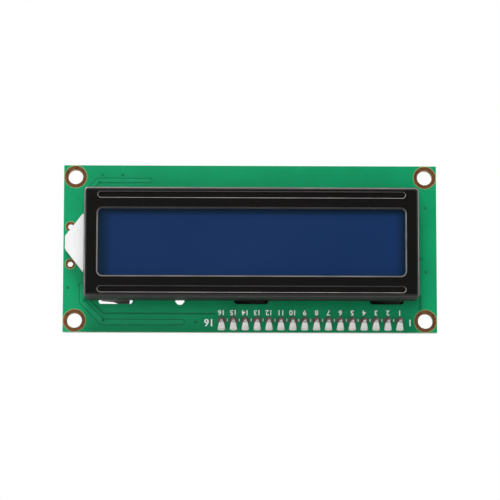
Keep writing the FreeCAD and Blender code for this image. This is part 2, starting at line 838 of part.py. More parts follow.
def trimmer_lead_offsets():
    """Where the three leads are, from the middle of the trimmer."""
    return ((-trimmer_lead_spread, 0), (0, trimmer_lead_spread / 2), (trimmer_lead_spread, 0))


def jumper():
    """The shorting cap and the metal clip inside it, pushed onto the two bent pins."""
    height = bent_pin_y
    x1, x0 = jumper_cap_right, jumper_cap_right - jumper_cap_length
    y0, y1 = height - jumper_cap_height / 2, height + jumper_cap_height / 2
    z0, z1 = jumper_header_z - jumper_cap_width / 2, jumper_header_z + jumper_cap_width / 2
    cap = block(x0, x1, y0, y1, z0, z1)
    long_edges = [e for e in cap.Edges if abs(e.tangentAt(e.FirstParameter).x) > 0.99]
    cap = cap.makeChamfer(jumper_cap_bevel, long_edges)
    channel = pin_size + 2 * jumper_channel_clearance
    contact_size = channel + 2 * jumper_contact_thickness
    contact_x1 = x1 - jumper_contact_from_mouth
    contact_x0 = contact_x1 - jumper_contact_length
    cuts = []
    sleeves = []
    tunnels = []
    for i in range(jumper_header_pins):
        z = jumper_header_z + (i - (jumper_header_pins - 1) / 2) * pitch
        tunnel = centered_block_x(x0 - 1, x1 + 1, height, z, channel)
        tunnels.append(tunnel)
        cuts.append(tunnel)
        sleeves.append(centered_block_x(contact_x0, contact_x1, height, z, contact_size))
    bridge = block(
        contact_x0, contact_x1, height - contact_size / 2,
        height - contact_size / 2 + jumper_contact_thickness,
        jumper_header_z - pitch / 2, jumper_header_z + pitch / 2)
    blank = fuse(sleeves + [bridge])
    contact = blank.cut(Part.makeCompound(tunnels))
    window_x0 = x0 + jumper_window_from_end
    window = block(
        window_x0, window_x0 + jumper_window_length, height, y1 + 1,
        jumper_header_z - jumper_window_width / 2, jumper_header_z + jumper_window_width / 2)
    cap = cap.cut(blank).cut(Part.makeCompound(cuts)).cut(window)
    return cap, contact


def centered_block_x(x0, x1, y, z, size):
    """A square bar along X."""
    return block(x0, x1, y - size / 2, y + size / 2, z - size / 2, z + size / 2)


def row_along_z(center, count):
    """The places of a row of header pins along Z."""
    return [center + (i - (count - 1) / 2) * pitch for i in range(count)]


def build():
    os.makedirs("parts", exist_ok=True)
    write("lcd_circuit_board", display_board())
    write("corner_hole_rings", corner_rings())
    write("tab_slot_pads", slot_pads())
    write("backlight_wire_pads", power_pads())
    write("bare_component_pads", bare_footprints())
    write("bezel_frame", bezel())

    write("front_polariser", layer(
        window_width / 2 + polariser_overlap, window_height / 2 + polariser_overlap, polariser_front,
        polariser_thickness))
    write("front_glass", layer(inner_half_width, inner_half_height, front_glass_front, glass_thickness))
    write("rear_glass", layer(inner_half_width, housing_half_height, rear_glass_front, glass_thickness))
    write("rear_polariser", layer(
        window_width / 2 + polariser_overlap, window_height / 2 + polariser_overlap, rear_polariser_front,
        polariser_thickness))
    write("diffuser_sheet", layer(
        housing_half_width, housing_half_height, diffuser_front, diffuser_thickness))
    write("light_guide", light_guide())
    write("reflector_sheet", layer(
        housing_half_width - housing_wall, housing_half_height - housing_wall, guide_back,
        reflector_thickness))
    write("backlight_housing", backlight_housing())
    write("backlight_led", block(
        led_x - led_length / 2, led_x + led_length / 2, guide_front + horn_wall, 0,
        guide_port_center_z - led_width / 2, guide_port_center_z + led_width / 2))
    write("backlight_led_leads", led_leads())
    lead_bars = Part.makeCompound(led_leads())
    write("backlight_led_joints", [
        solder_joint(
            led_x, z, board_back, 1, led_joint_radius, led_joint_top_radius, led_joint_height, lead_bars)
        for z in led_lead_zs
    ])
    for name, s in (("upper_contact_rubber", 1), ("lower_contact_rubber", -1)):
        z = bezel_center_z + s * (inner_half_height - strip_rubber_width / 2)
        write(name, centered_block(
            bezel_center_x, z, strip_rubber_length, strip_rubber_width, rear_glass_front, 0))

    dies = [centered_block(x, z, die_size, die_size, board_back, board_back + die_thickness)
            for x, z in blob_centers]
    write("driver_dies", dies)
    for name, (x, z) in zip(("driver_blob", "second_driver_blob"), blob_centers):
        blob = dome(x, z, blob_diameter / 2, board_back, blob_edge_height, blob_height)
        write(name, blob.cut(Part.makeCompound(dies)))

    bodies, ends = [], []
    for from_edge in board_resistor_from_edge:
        size = (board_resistor_length, board_resistor_width, board_resistor_height)
        body, caps = capped_chip(board_resistor_x, board_bottom + from_edge, size, board_back)
        bodies.append(body)
        ends += caps
    write("lcd_board_resistors", bodies)
    write("lcd_board_resistor_ends", ends)

    pins = [
        straight_pin(x, pin_row_z, -pin_front_length, serial_back + pin_back_length) for x in pin_xs]
    write("header_pins", pins)
    strip_y = serial_front - strip_size
    strip = header_strip(pin_count, (pin_xs[0] + pin_xs[-1]) / 2, pin_row_z, True, strip_y)
    write("header_strip", strip.cut(Part.makeCompound(
        [pin_hole(x, pin_row_z, strip_y - 1, strip_y + strip_size + 1) for x in pin_xs])))
    write("front_solder_joints", [front_joint(x, pin) for x, pin in zip(pin_xs, pins)])
    write("rear_solder_joints", [
        solder_joint(x, pin_row_z, serial_back, 1, joint_base_radius, joint_top_radius, joint_height, pin)
        for x, pin in zip(pin_xs, pins)])

    side_zs = row_along_z(side_header_z, side_header_pins)
    jumper_zs = row_along_z(jumper_header_z, jumper_header_pins)
    serial = block(serial_left, serial_right, serial_front, serial_back, serial_bottom, serial_top)
    places = [(x, pin_row_z, pin_hole_diameter) for x in pin_xs]
    places += [(side_header_x, z, pin_hole_diameter) for z in side_zs]
    places += [(jumper_header_x, z, pin_hole_diameter) for z in jumper_zs]
    places += [
        (trimmer_x + dx, trimmer_z + dz, trimmer_hole_diameter) for dx, dz in trimmer_lead_offsets()]
    holes = [small_round(x, z, d, serial_front - 1, serial_back + 1) for x, z, d in places]
    write("serial_circuit_board", serial.cut(Part.makeCompound(holes)))

    body, leads = expander_chip()
    write("expander_chip_body", body)
    write("expander_chip_leads", leads)
    housing, rotor, leads = trimmer()
    write("trimmer_housing", housing)
    write("trimmer_rotor", rotor)
    write("trimmer_leads", leads)

    bend_height = bent_pin_y
    side_pins = [
        bent_pin(side_header_x, z, serial_front - lead_stub, bend_height, side_header_x + side_pin_reach)
        for z in side_zs]
    jumper_pins = [
        bent_pin(jumper_header_x, z, serial_front - lead_stub, bend_height, jumper_pin_end)
        for z in jumper_zs]
    write("side_header_pins", side_pins)
    write("jumper_header_pins", jumper_pins)
    side_strip = header_strip(side_header_pins, side_header_x, side_header_z, False, serial_back)
    write("side_header_strip", side_strip.cut(Part.makeCompound(
        [pin_hole(side_header_x, z, serial_back - 1, bend_height) for z in side_zs])))
    jumper_strip = header_strip(jumper_header_pins, jumper_header_x, jumper_header_z, False, serial_back)
    write("jumper_header_strip", jumper_strip.cut(Part.makeCompound(
        [pin_hole(jumper_header_x, z, serial_back - 1, bend_height) for z in jumper_zs])))
    write("serial_underside_joints", [
        solder_joint(
            x, z, serial_front, -1, joint_base_radius, underside_joint_top_radius,
            underside_joint_height, pin)
        for x, zs, row in (
            (side_header_x, side_zs, side_pins), (jumper_header_x, jumper_zs, jumper_pins))
        for z, pin in zip(zs, row)])
    cap, contact = jumper()
    write("jumper_cap", cap)
    write("jumper_contact", contact)

    body, leads = transistor()
    write("transistor_body", body)
    write("transistor_leads", leads)
    body, ends = capped_chip(
        serial_left + power_light_from_left, pin_row_z + power_light_above_pins, power_light_size,
        serial_back)
    write("power_light", body)
    write("power_light_ends", ends)
    bodies, ends = [], []
    for x, z in chip_resistor_places:
        body, caps = capped_chip(serial_left + x, pin_row_z + z, chip_resistor_size, serial_back)
        bodies.append(body)
        ends += caps
    flat_size = (chip_resistor_size[1], chip_resistor_size[0], chip_resistor_size[2])
    body, caps = capped_chip(
        serial_left + flat_resistor_place[0], pin_row_z + flat_resistor_place[1], flat_size, serial_back)
    write("serial_board_resistors", bodies + [body])
    write("serial_board_resistor_ends", ends + caps)
    body, ends = capped_chip(
        serial_left + capacitor_place[0], pin_row_z + capacitor_place[1], capacitor_size, serial_back)
    write("capacitor", body)
    write("capacitor_ends", ends)


build()
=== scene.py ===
# %% [markdown]
# # A character display and its serial board
# The object is a small electronic module. A green board, 80 by 36 mm, carries a black pressed
# bezel with a blue screen in front, and a narrow black board is soldered to its back on a
# header of sixteen pins. This lesson takes the finished CAD model as a fixed frame and gives
# it the looks: softened edges, smooth solder, printed marks, and a finish for each material.

# %% Load the frame
import json
import math

import bmesh
import bpy
from mathutils import Matrix, Vector


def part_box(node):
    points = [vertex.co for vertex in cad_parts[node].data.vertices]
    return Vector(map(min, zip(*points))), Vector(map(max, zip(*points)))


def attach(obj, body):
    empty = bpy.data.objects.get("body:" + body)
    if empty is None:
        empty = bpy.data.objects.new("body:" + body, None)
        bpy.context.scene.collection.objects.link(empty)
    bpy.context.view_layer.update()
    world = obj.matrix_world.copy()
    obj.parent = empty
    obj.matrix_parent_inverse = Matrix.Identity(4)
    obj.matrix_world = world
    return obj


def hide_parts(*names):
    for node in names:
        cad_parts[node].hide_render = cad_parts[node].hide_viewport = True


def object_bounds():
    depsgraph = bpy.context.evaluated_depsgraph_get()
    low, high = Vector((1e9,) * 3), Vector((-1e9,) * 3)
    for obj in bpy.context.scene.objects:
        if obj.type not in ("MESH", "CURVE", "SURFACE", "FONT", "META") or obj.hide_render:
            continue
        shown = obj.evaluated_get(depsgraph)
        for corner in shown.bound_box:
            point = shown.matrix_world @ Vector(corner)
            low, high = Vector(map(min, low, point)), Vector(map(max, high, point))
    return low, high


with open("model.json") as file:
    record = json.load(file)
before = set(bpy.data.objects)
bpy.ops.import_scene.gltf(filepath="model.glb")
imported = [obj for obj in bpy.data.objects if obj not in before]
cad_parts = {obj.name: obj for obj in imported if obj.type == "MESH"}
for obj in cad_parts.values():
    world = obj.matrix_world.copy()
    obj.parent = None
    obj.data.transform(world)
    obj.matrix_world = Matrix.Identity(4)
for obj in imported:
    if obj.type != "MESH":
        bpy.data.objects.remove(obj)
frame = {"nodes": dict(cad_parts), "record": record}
cad_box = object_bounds()
nodes = frame["nodes"]

# %% [markdown]
# The CAD model says where everything is. Wherever a piece meets a part, its place is read
# from that node's box, so it still fits when the CAD model changes. Blender counts in metres,
# but the pieces are small, so they are made in millimetres and scaled when they are finished.

# %% Places read from the frame
mm = 0.001


def box_mm(node):
    """The lowest and the highest corner of a CAD node, in millimetres."""
    low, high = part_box(node)
    return low / mm, high / mm


board_low, board_high = box_mm("lcd_circuit_board")
serial_low, serial_high = box_mm("serial_circuit_board")
bezel_low, bezel_high = box_mm("bezel_frame")
pins_low, pins_high = box_mm("header_pins")
film_low, film_high = box_mm("front_polariser")
pitch = 2.54
pin_size = 0.64
pin_z = (pins_low.z + pins_high.z) / 2
first_pin_x = pins_high.x - pin_size / 2
pin_xs = [first_pin_x - pitch * i for i in range(16)]
print("board %.1f x %.1f mm, first pin at x = %.2f" % (
    board_high.x - board_low.x, board_high.z - board_low.z, first_pin_x))

# %% [markdown]
# ## Camera, floor and light
# The photograph looks at the front from slightly below, with a long lens, so the edges stay
# almost parallel. A camera far away with a narrow angle gives the same. It is placed on a
# sphere round the middle of the module, from the two angles measured in the photograph.

# %% Camera
camera_azimuth = math.radians(-0.7)
camera_elevation = math.radians(-7.5)
camera_distance = 0.55
camera_angle = math.radians(11.17)
camera_roll = math.radians(-0.09)
aim = Vector((0.0, 0.002, 0.0))

away = Vector((
    math.sin(camera_azimuth) * math.cos(camera_elevation),
    -math.cos(camera_azimuth) * math.cos(camera_elevation),
    math.sin(camera_elevation)))
camera = bpy.data.objects.new("camera", bpy.data.cameras.new("camera"))
camera.data.angle = camera_angle
camera.location = aim + camera_distance * away
turned = (-away).to_track_quat("-Z", "Y").to_matrix() @ Matrix.Rotation(-camera_roll, 3, "Z")
camera.rotation_euler = turned.to_euler()
camera.data.clip_start = 0.01
bpy.context.scene.collection.objects.link(camera)
bpy.context.scene.camera = camera
bpy.context.scene.view_settings.view_transform = "Standard"
print("camera %.0f mm away, at z = %.0f mm" % (camera_distance / mm, camera.location.z / mm))

# %% [markdown]
# ## Shader maths as Python
# A material is a graph of nodes. Wiring one by hand hides the idea, so a small class wraps
# an output socket and turns `+ - * /` into Math nodes, and one method makes every other
# node. Colours are mixed by a Mix node, because a Math node would turn them grey.

# %% A socket that can be used in an expression
class Socket:
    """One output socket of a node."""

    def __init__(self, graph, socket):
        self.graph = graph
        self.socket = socket

    def math(self, operation, *values):
        return self.graph.node("Math", {"operation": operation}, dict(enumerate(values)))

    def __add__(self, other):
        return self.math("ADD", self, other)

    def __sub__(self, other):
        return self.math("SUBTRACT", self, other)

    def __rsub__(self, other):
        return self.math("SUBTRACT", other, self)

    def __mul__(self, other):
        return self.math("MULTIPLY", self, other)

    def __truediv__(self, other):
        return self.math("DIVIDE", self, other)

    def __abs__(self):
        return self.math("ABSOLUTE", self)

    def __lt__(self, other):
        return self.math("LESS_THAN", self, other)

    def __gt__(self, other):
        return self.math("GREATER_THAN", self, other)

    __radd__ = __add__
    __rmul__ = __mul__


# %% A graph, and a finish: one material and the nodes in it
class Graph:
    """A node tree, and the one way to add nodes to it."""

    def __init__(self, tree):
        self.tree = tree

    def node(self, kind, settings, inputs, output=0):
        made = self.tree.nodes.new("ShaderNode" + kind)
        for name, value in settings.items():
            setattr(made, name, value)
        for key, value in inputs.items():
            self.feed(made.inputs[key], value)
        return Socket(self, made.outputs[output])

    def feed(self, socket, value):
        if isinstance(value, Socket):
            self.tree.links.new(value.socket, socket)
        else:
            socket.default_value = value


class Finish(Graph):
    """A material with a Principled shader."""

    def __init__(self, name, **constants):
        self.material = bpy.data.materials.new(name)
        self.material.use_nodes = True
        super().__init__(self.material.node_tree)
        self.shader = self.tree.nodes["Principled BSDF"]
        self.wear(**constants)

    def wear(self, **varying):
        """Feeds the shader's own sockets, with constants or with what varies."""
        for socket, value in varying.items():
            self.feed(self.shader.inputs[socket.replace("_", " ")], value)
        return self.material

    def xyz(self):
        """The place on the object, as three numbers in millimetres."""
        place = self.node("TexCoord", {}, {}, "Object")
        scaled = self.node(
            "VectorMath", {"operation": "SCALE"}, {"Vector": place, "Scale": 1 / mm})
        return [self.node("SeparateXYZ", {}, {"Vector": scaled}, axis) for axis in "XYZ"]

    def noise(self, size, detail=2.0, stretch=(1, 1, 1)):
        """A soft random pattern, from 0 to 1, with spots about as large as size in mm."""
        place = self.node("TexCoord", {}, {}, "Object")
        spread = [1 / mm / size / s for s in stretch]
        scaled = self.node("VectorMath", {"operation": "MULTIPLY"}, {0: place, 1: spread})
        return self.node("TexNoise", {}, {"Vector": scaled, "Scale": 1.0, "Detail": detail})

    def step(self, value, start, end):
        """0 below start and 1 above end, with a soft passage between them."""
        return self.node("MapRange", {"interpolation_type": "SMOOTHSTEP"}, {
            "Value": value, "From Min": start, "From Max": end})

    def mix(self, share, first, second):
        """The first colour where share is 0 and the second where it is 1."""
        colours = [c if isinstance(c, Socket) else (*c, 1.0) for c in (first, second)]
        return self.node(
            "Mix", {"data_type": "RGBA"}, {0: share, 6: colours[0], 7: colours[1]}, 2)

    def bump(self, height, depth, strength=1.0):
        """A surface normal for bumps of that height pattern and that depth in mm."""
        return self.node("Bump", {}, {
            "Height": height, "Distance": depth * mm, "Strength": strength})


def srgb(red, green, blue):
    """A colour as read in a picture, 0 to 255, turned into the linear values of a shader."""
    return tuple(
        c / 12.92 if c <= 0.04045 else ((c + 0.055) / 1.055) ** 2.4
        for c in (red / 255, green / 255, blue / 255))


def grey(level):
    return (level, level, level)


print("shader kit ready")

# %% [markdown]
# The module stands on its lower edge on a plain pale floor. The camera of the photograph is
# lower than that floor, so the floor has to vanish when it is seen from below. Backfacing
# tells which side a ray meets, and it chooses between the floor and a transparent shader.
# The floor lets shadow rays through as well, so a lamp below it can light the undersides, as
# a white table would. Far away it fades out, so there is no horizon.

# %% Floor
floor_size = 3.0
floor_drop = 0.15
floor_place = Vector((0, 0, cad_box[0][2] - floor_drop * mm))
floor_fade_start = 0.14
floor_fade_end = 0.45


def flat_sheet(name, size, turn, place, material):
    """A flat sheet of (width, depth) in metres, turned about X and then put in its place."""
    bm = bmesh.new()
    turned = Matrix.Rotation(turn, 4, "X") @ Matrix.Diagonal((*size, 1, 1))
    bmesh.ops.create_grid(
        bm, x_segments=1, y_segments=1, size=0.5, matrix=Matrix.Translation(place) @ turned)
    mesh = bpy.data.meshes.new(name)
    bm.to_mesh(mesh)
    bm.free()
    mesh.materials.append(material)
    sheet = bpy.data.objects.new(name, mesh)
    bpy.context.scene.collection.objects.link(sheet)
    return sheet


def floor_finish():
    finish = Finish("pale floor", Base_Color=(0.82, 0.82, 0.83, 1), Roughness=0.7)
    behind = finish.node("NewGeometry", {}, {}, "Backfacing")
    shadow = finish.node("LightPath", {}, {}, "Is Shadow Ray")
    clear = finish.node("BsdfTransparent", {}, {})
    x, y, _ = finish.xyz()
    distance = finish.node("VectorMath", {"operation": "LENGTH"}, {
        0: finish.node("CombineXYZ", {}, {0: x, 1: y})}, "Value")
    far = finish.step(distance, floor_fade_start / mm, floor_fade_end / mm)
    gone = behind.math("MAXIMUM", behind.math("MAXIMUM", behind, shadow), far)
    solid = Socket(finish, finish.shader.outputs[0])
    seen = finish.node("MixShader", {}, {0: gone, 1: solid, 2: clear})
    finish.feed(finish.tree.nodes["Material Output"].inputs["Surface"], seen)
    return finish.material


floor = flat_sheet("floor", (floor_size, floor_size), 0, floor_place, floor_finish())
print("floor at z = %.2f mm" % (floor_place.z / mm))

# %% [markdown]
# A product photograph is taken in a white room. The world is that room: plain white for the
# camera, and for rays that a mirror or glass sends on. The light that it sheds on the module
# is much weaker, so that the lamps can draw the shadows.

# %% World
ambient_light = 0.12
world = bpy.data.worlds.new("white room")
world.use_nodes = True
bpy.context.scene.world = world

room = Graph(world.node_tree)
seen, mirrored, bent = [
    room.node("LightPath", {}, {}, "Is %s Ray" % ray)
    for ray in ("Camera", "Glossy", "Transmission")]
white = seen.math("MAXIMUM", seen.math("MAXIMUM", seen, mirrored), bent)
background = room.tree.nodes["Background"]
room.feed(background.inputs["Color"], (1, 1, 1, 1))
room.feed(background.inputs["Strength"], room.node("MapRange", {}, {
    "Value": white, "To Min": ambient_light, "To Max": 1.0}))
print("world light", ambient_light)

# %% [markdown]
# The rest of the light comes from large round area lamps that all point at the module. The
# key lamp is above and in front, so the bezel throws its short shadow down on the board, as
# in the photograph, and a weak fill lamp near the camera keeps that shadow from going black.
# Neither is seen in reflections, where it would draw thick white lines along the bezel.

# %% Lamps
lamps = (
    ("key", (-0.02, -0.45, 0.60), 0.35, 4.2),
    ("front_fill", (-0.05, -0.55, 0.13), 0.22, 0.8),
    ("overhead", (0.0, -0.10, 0.55), 0.60, 1.0),
    ("below", (0.0, -0.14, -0.50), 0.50, 0.4),
    ("left_side", (-0.55, -0.25, 0.05), 0.30, 0.3),
    ("right_side", (0.55, -0.25, 0.05), 0.30, 0.1),
    ("back_key", (-0.35, 0.50, 0.50), 0.35, 4.6),
    ("low_back", (0.25, 0.50, -0.30), 0.40, 1.3),
)
unmirrored_lamps = ("key", "front_fill")


def add_lamp(name, place, size, power):
    lamp = bpy.data.lights.new(name, "AREA")
    lamp.shape = "DISK"
    lamp.size = size
    lamp.energy = power
    lamp_object = bpy.data.objects.new(name, lamp)
    lamp_object.location = place
    lamp_object.rotation_euler = (-Vector(place)).to_track_quat("-Z", "Y").to_euler()
    lamp_object.visible_glossy = name not in unmirrored_lamps
    bpy.context.scene.collection.objects.link(lamp_object)


for lamp in lamps:
    add_lamp(*lamp)
print("lamps:", ", ".join(lamp[0] for lamp in lamps))

# %% [markdown]
# Black enamel and dark glass show what they mirror. In a white room they would look grey, so
# a studio hangs a dark card behind the camera. It is hidden from the camera itself and only
# shows in the shine of the flat front, which keeps the black deep and the bright edges clear.

# %% Dark card behind the camera
card_size = (0.9, 0.5)
card_place = (0.0, -0.78, 0.08)
card_finish = Finish("dark card", Base_Color=(0.01, 0.01, 0.01, 1), Roughness=1.0)
card = flat_sheet("dark_card", card_size, math.pi / 2, card_place, card_finish.material)
card.visible_camera = False
card.visible_shadow = False
card.visible_diffuse = False
print("dark card", card_size, "at", card_place)

# %% [markdown]
# ## Finishes
# Each material gets one short function. A real surface is never one flat colour: solder mask
# is mottled and slightly rippled, the board's edge shows pale fibre, and the enamel's bends get
# a painted highlight with a little wear. All patterns read the place on the object, so they
# stay put when a body moves.

# %% Board laminates
mask_in_front = (srgb(13, 141, 92), srgb(12, 124, 78))
mask_behind = (srgb(42, 146, 112), srgb(34, 130, 96))
black_mask = (srgb(40, 41, 44), srgb(28, 29, 32))
fibre_edge = srgb(244, 241, 230)
black_board_edge = srgb(216, 214, 207)
hole_wall = srgb(168, 142, 104)


def laminate(name, front, back, edge, wall, low, high, gloss):
    """Solder mask on the two faces of a board, bare fibre on its rim, and stained hole walls."""
    finish = Finish(name, Specular_IOR_Level=0.12)
    x, y, z = finish.xyz()
    middle, half = (low + high) / 2, (high - low) / 2
    on_face = finish.step(abs(y - middle.y), half.y - 0.03, half.y - 0.01)
    in_hole = (abs(x - middle.x) < half.x - 0.1) * (abs(z - middle.z) < half.z - 0.1)
    mottle = finish.step(finish.noise(6.0, 4), 0.35, 0.7) * 0.35
    mask = finish.mix(y > middle.y, finish.mix(mottle, *front), finish.mix(mottle, *back))
    streaks = finish.noise(0.5, 3, (6, 0.15, 6))
    rim = finish.mix(finish.step(streaks, 0.35, 0.7), edge, tuple(0.75 * c for c in edge))
    cut = finish.mix(in_hole, rim, wall)
    weave = finish.noise(0.8, 3)
    return finish.wear(
        Base_Color=finish.mix(on_face, cut, mask), Roughness=0.75 - on_face * gloss,
        Normal=finish.bump(weave, 0.01, 0.4))


finishes = {}
finishes["green_laminate"] = laminate(
    "green laminate", mask_in_front, mask_behind, fibre_edge, hole_wall,
    board_low, board_high, 0.45)
finishes["black_laminate"] = laminate(
    "black laminate", black_mask, black_mask, black_board_edge, black_board_edge,
    serial_low, serial_high, 0.4)
print("laminates ready")

# %% [markdown]
# The bezel is thin steel, pressed and dipped in black enamel. Its bends get a painted highlight,
# pale grey where a bend faces up towards the key lamp and faint where it faces down, mixed with a
# little wear where the enamel is thinnest, and its side walls are painted a paler grey as a
# painted reflection of the pale room. Where the bends are can't be read from a place alone, so
# the Bezel cell below marks each face with two attributes, one for the painted highlight and
# side, and this finish reads them.

# %% Enamel
def enamel():
    """Black enamel, with a painted grey highlight and a little wear on the bends, and a paler
    painted sheen on the side walls.
    """
    finish = Finish("black enamel", Specular_IOR_Level=0.35)
    cloud = finish.noise(9.0, 3)
    grain = finish.noise(0.25, 2)
    bend_highlight = finish.node("Attribute", {"attribute_name": "bend_highlight"}, {}, "Fac")
    side = finish.node("Attribute", {"attribute_name": "side"}, {}, "Fac")
    # Painted highlight: the bends are painted pale grey, brightest where they face up towards the
    # key lamp, and broken up by noise as a little wear.
    bend_highlight_and_wear = bend_highlight * (0.6 + 0.4 * finish.step(finish.noise(2.5, 3, (3, 1, 1)), 0.3, 0.6))
    black = finish.mix(cloud, srgb(20, 19, 18), srgb(12, 11, 11))
    # Painted reflection: faces turned away from the front are painted a paler grey, as if they
    # mirrored the pale room.
    painted_side_sheen = finish.mix(side * 0.25, black, srgb(84, 84, 82))
    return finish.wear(
        Base_Color=finish.mix(bend_highlight_and_wear, painted_side_sheen, srgb(196, 189, 186)),
        Roughness=0.15 + cloud * 0.06 + side * 0.4 + bend_highlight_and_wear * 0.1,
        Normal=finish.bump(grain, 0.003, 0.5))


finishes["bezel_black"] = enamel()
print("enamel ready")

# %% [markdown]
# A screen that is switched off is a deep blue film. Near the rim of its window it is painted
# darker and greener, partly the film's own dark margin and partly a painted shadow of the bezel's
# rim, so the colour depends on the distance to three of the film's four edges. The fourth edge,
# at the bottom, is bright right up to the bezel.

# %% Screen film
def screen_film():
    """Deep blue film, darker and greener towards the rim of the window."""
    finish = Finish("blue film", Specular_IOR_Level=0.15, Roughness=0.15)
    x, _, z = finish.xyz()
    cloud = finish.noise(22.0, 2)
    # Painted shadow of the bezel's rim, with the film's own dark margin: darker and greener
    # towards the left, right and top edges.
    from_left = finish.step(x, film_low.x + 1.8, film_low.x + 4.2)
    from_right = finish.step(film_high.x - x, 1.0, 3.2)
    from_top = finish.step(film_high.z - z, 1.4, 2.8)
    clear_of_rim_shadow = from_left * from_right * from_top
    blue = finish.mix(cloud, srgb(15, 38, 76), srgb(22, 46, 85))
    grain = finish.noise(0.15, 1)
    return finish.wear(
        Base_Color=finish.mix(clear_of_rim_shadow, srgb(14, 34, 54), blue), Normal=finish.bump(grain, 0.002, 0.3))


finishes["screen_film"] = screen_film()
print("screen film ready")

# %% [markdown]
# Most of the other parts are moulded: headers, trimmer, blobs, resistors. A moulded surface
# has slight clouds in its colour and a fine grain that breaks up the shine, so one function
# with two noise patterns serves them all, and only colours and roughness change.

# %% Moulded plastics
def moulded(slot, colour, dark, roughness, specular=0.5, grain_size=0.35, grain_depth=0.01):
    """A moulded plastic: slight clouds in its colour and a fine grain."""
    finish = Finish(slot.replace("_", " "), Specular_IOR_Level=specular)
    cloud = finish.noise(3.0, 3)
    grain = finish.noise(grain_size, 2)
    return finish.wear(
        Base_Color=finish.mix(cloud, colour, dark), Roughness=roughness + grain * 0.12,
        Normal=finish.bump(grain, grain_depth, 0.6))


plastics = (
    ("glass", (0.5, 0.6, 0.6), (0.45, 0.55, 0.56), 0.05),
    ("white_plastic", grey(0.72), grey(0.68), 0.45, 0.3),
    ("clear_plastic", grey(0.7), grey(0.65), 0.2),
    ("contact_rubber", (0.3, 0.2, 0.25), (0.2, 0.12, 0.16), 0.6),
    ("black_plastic", grey(0.032), grey(0.023), 0.4, 0.35),
    ("epoxy_blob", srgb(45, 45, 47), srgb(36, 36, 38), 0.5, 0.3, 0.5, 0.02),
    ("rotor_plastic", srgb(214, 206, 190), srgb(196, 188, 170), 0.5),
    ("ceramic", srgb(158, 124, 96), srgb(140, 106, 80), 0.5),
    ("resistor_film", grey(0.018), grey(0.012), 0.3),
    ("lamp_resin", srgb(222, 220, 200), srgb(205, 203, 180), 0.25),
)
for slot, *look in plastics:
    finishes[slot] = moulded(slot, *look)
print("moulded finishes:", len(plastics))

# %% [markdown]
# Two parts need more than that. The wide chip has a ground top that is paler than its moulded
# sides, which the height of a point tells. The blue trimmer has an arc of ticks round its
# dial: the angle about the dial, folded back and forth by Ping-Pong, gives evenly spaced
# marks, and the distance from the dial's middle keeps them in a ring.

# %% Chip and trimmer
def chip_epoxy():
    """Dark epoxy: the ground top face of the chip is paler than its moulded sides."""
    finish = Finish("chip epoxy", Specular_IOR_Level=0.3)
    y = finish.xyz()[1]
    on_top = finish.step(y, chip_high.y - 0.1, chip_high.y - 0.04)
    cloud = finish.noise(3.0, 3)
    grain = finish.noise(0.12, 2)
    top = finish.mix(cloud, srgb(102, 99, 94), srgb(88, 85, 80))
    sides = finish.mix(cloud, srgb(52, 51, 50), srgb(42, 41, 40))
    return finish.wear(
        Base_Color=finish.mix(on_top, sides, top), Roughness=0.55 + grain * 0.12,
        Normal=finish.bump(grain, 0.012, 0.6))


def trimmer_plastic():
    """Blue plastic, with darker ticks moulded in an arc round the dial on its top face."""
    finish = Finish("blue plastic", Specular_IOR_Level=0.4)
    x, y, z = finish.xyz()
    across, up = x - dial_middle.x, z - dial_middle.z
    distance = finish.node("VectorMath", {"operation": "LENGTH"}, {
        0: finish.node("CombineXYZ", {}, {0: across, 2: up})}, "Value")
    turned = across.math("ARCTAN2", across, up) / math.radians(tick_step)
    in_tick = turned.math("PINGPONG", turned, 0.5) < tick_share
    in_ring = (abs(distance - tick_radius) < tick_length / 2) * (y > trimmer_high.y - 0.05)
    above = up > -tick_radius * 0.6
    cloud = finish.noise(3.0, 3)
    plain = finish.mix(cloud, srgb(26, 131, 200), srgb(20, 113, 184))
    return finish.wear(
        Base_Color=finish.mix(in_tick * in_ring * above * 0.7, plain, srgb(16, 62, 140)),
        Roughness=0.3 + cloud * 0.12, Normal=finish.bump(finish.noise(0.6, 2), 0.01, 0.6))


chip_low, chip_high = box_mm("expander_chip_body")
dial_low, dial_high = box_mm("trimmer_rotor")
dial_middle = (dial_low + dial_high) / 2
trimmer_high = box_mm("trimmer_housing")[1]
tick_radius, tick_length = 2.25, 0.75
tick_step, tick_share = 14.0, 0.14
finishes["chip_epoxy"] = chip_epoxy()
finishes["blue_plastic"] = trimmer_plastic()
print("ticks every", tick_step, "degrees round the dial")

# %% [markdown]
# Bare metal mirrors the room, with small ripples that bend the reflections. Tin and solder
# grow a pale skin in time, so they are only partly metallic here: a fully metallic pin would
# look black wherever it mirrors something dark.

# %% Metals
def metal(slot, colour, dark, roughness, bright=1.0, bump_size=0.5, bump_depth=0.02):
    """A bare metal with uneven shine.

    In front of the display board only the header pins are bare. Their upper halves are painted
    brown: painted shade under the dark bezel, mixed with flux.
    """
    finish = Finish(slot.replace("_", " "), Metallic=bright)
    _, y, z = finish.xyz()
    cloud = finish.noise(1.2, 3)
    ripple = finish.noise(bump_size, 2)
    clean = finish.mix(cloud, colour, dark)
    # Painted shade, mixed with flux: the upper half of each pin in front of the board is painted
    # brown.
    flux_and_painted_shade = finish.step(board_low.y - y, 0.1, 0.3) * finish.step(z, pin_z - 0.3, pin_z - 0.1)
    return finish.wear(
        Base_Color=finish.mix(flux_and_painted_shade, clean, shade_and_flux_brown), Roughness=roughness + cloud * 0.2,
        Normal=finish.bump(ripple, bump_depth, 0.5))


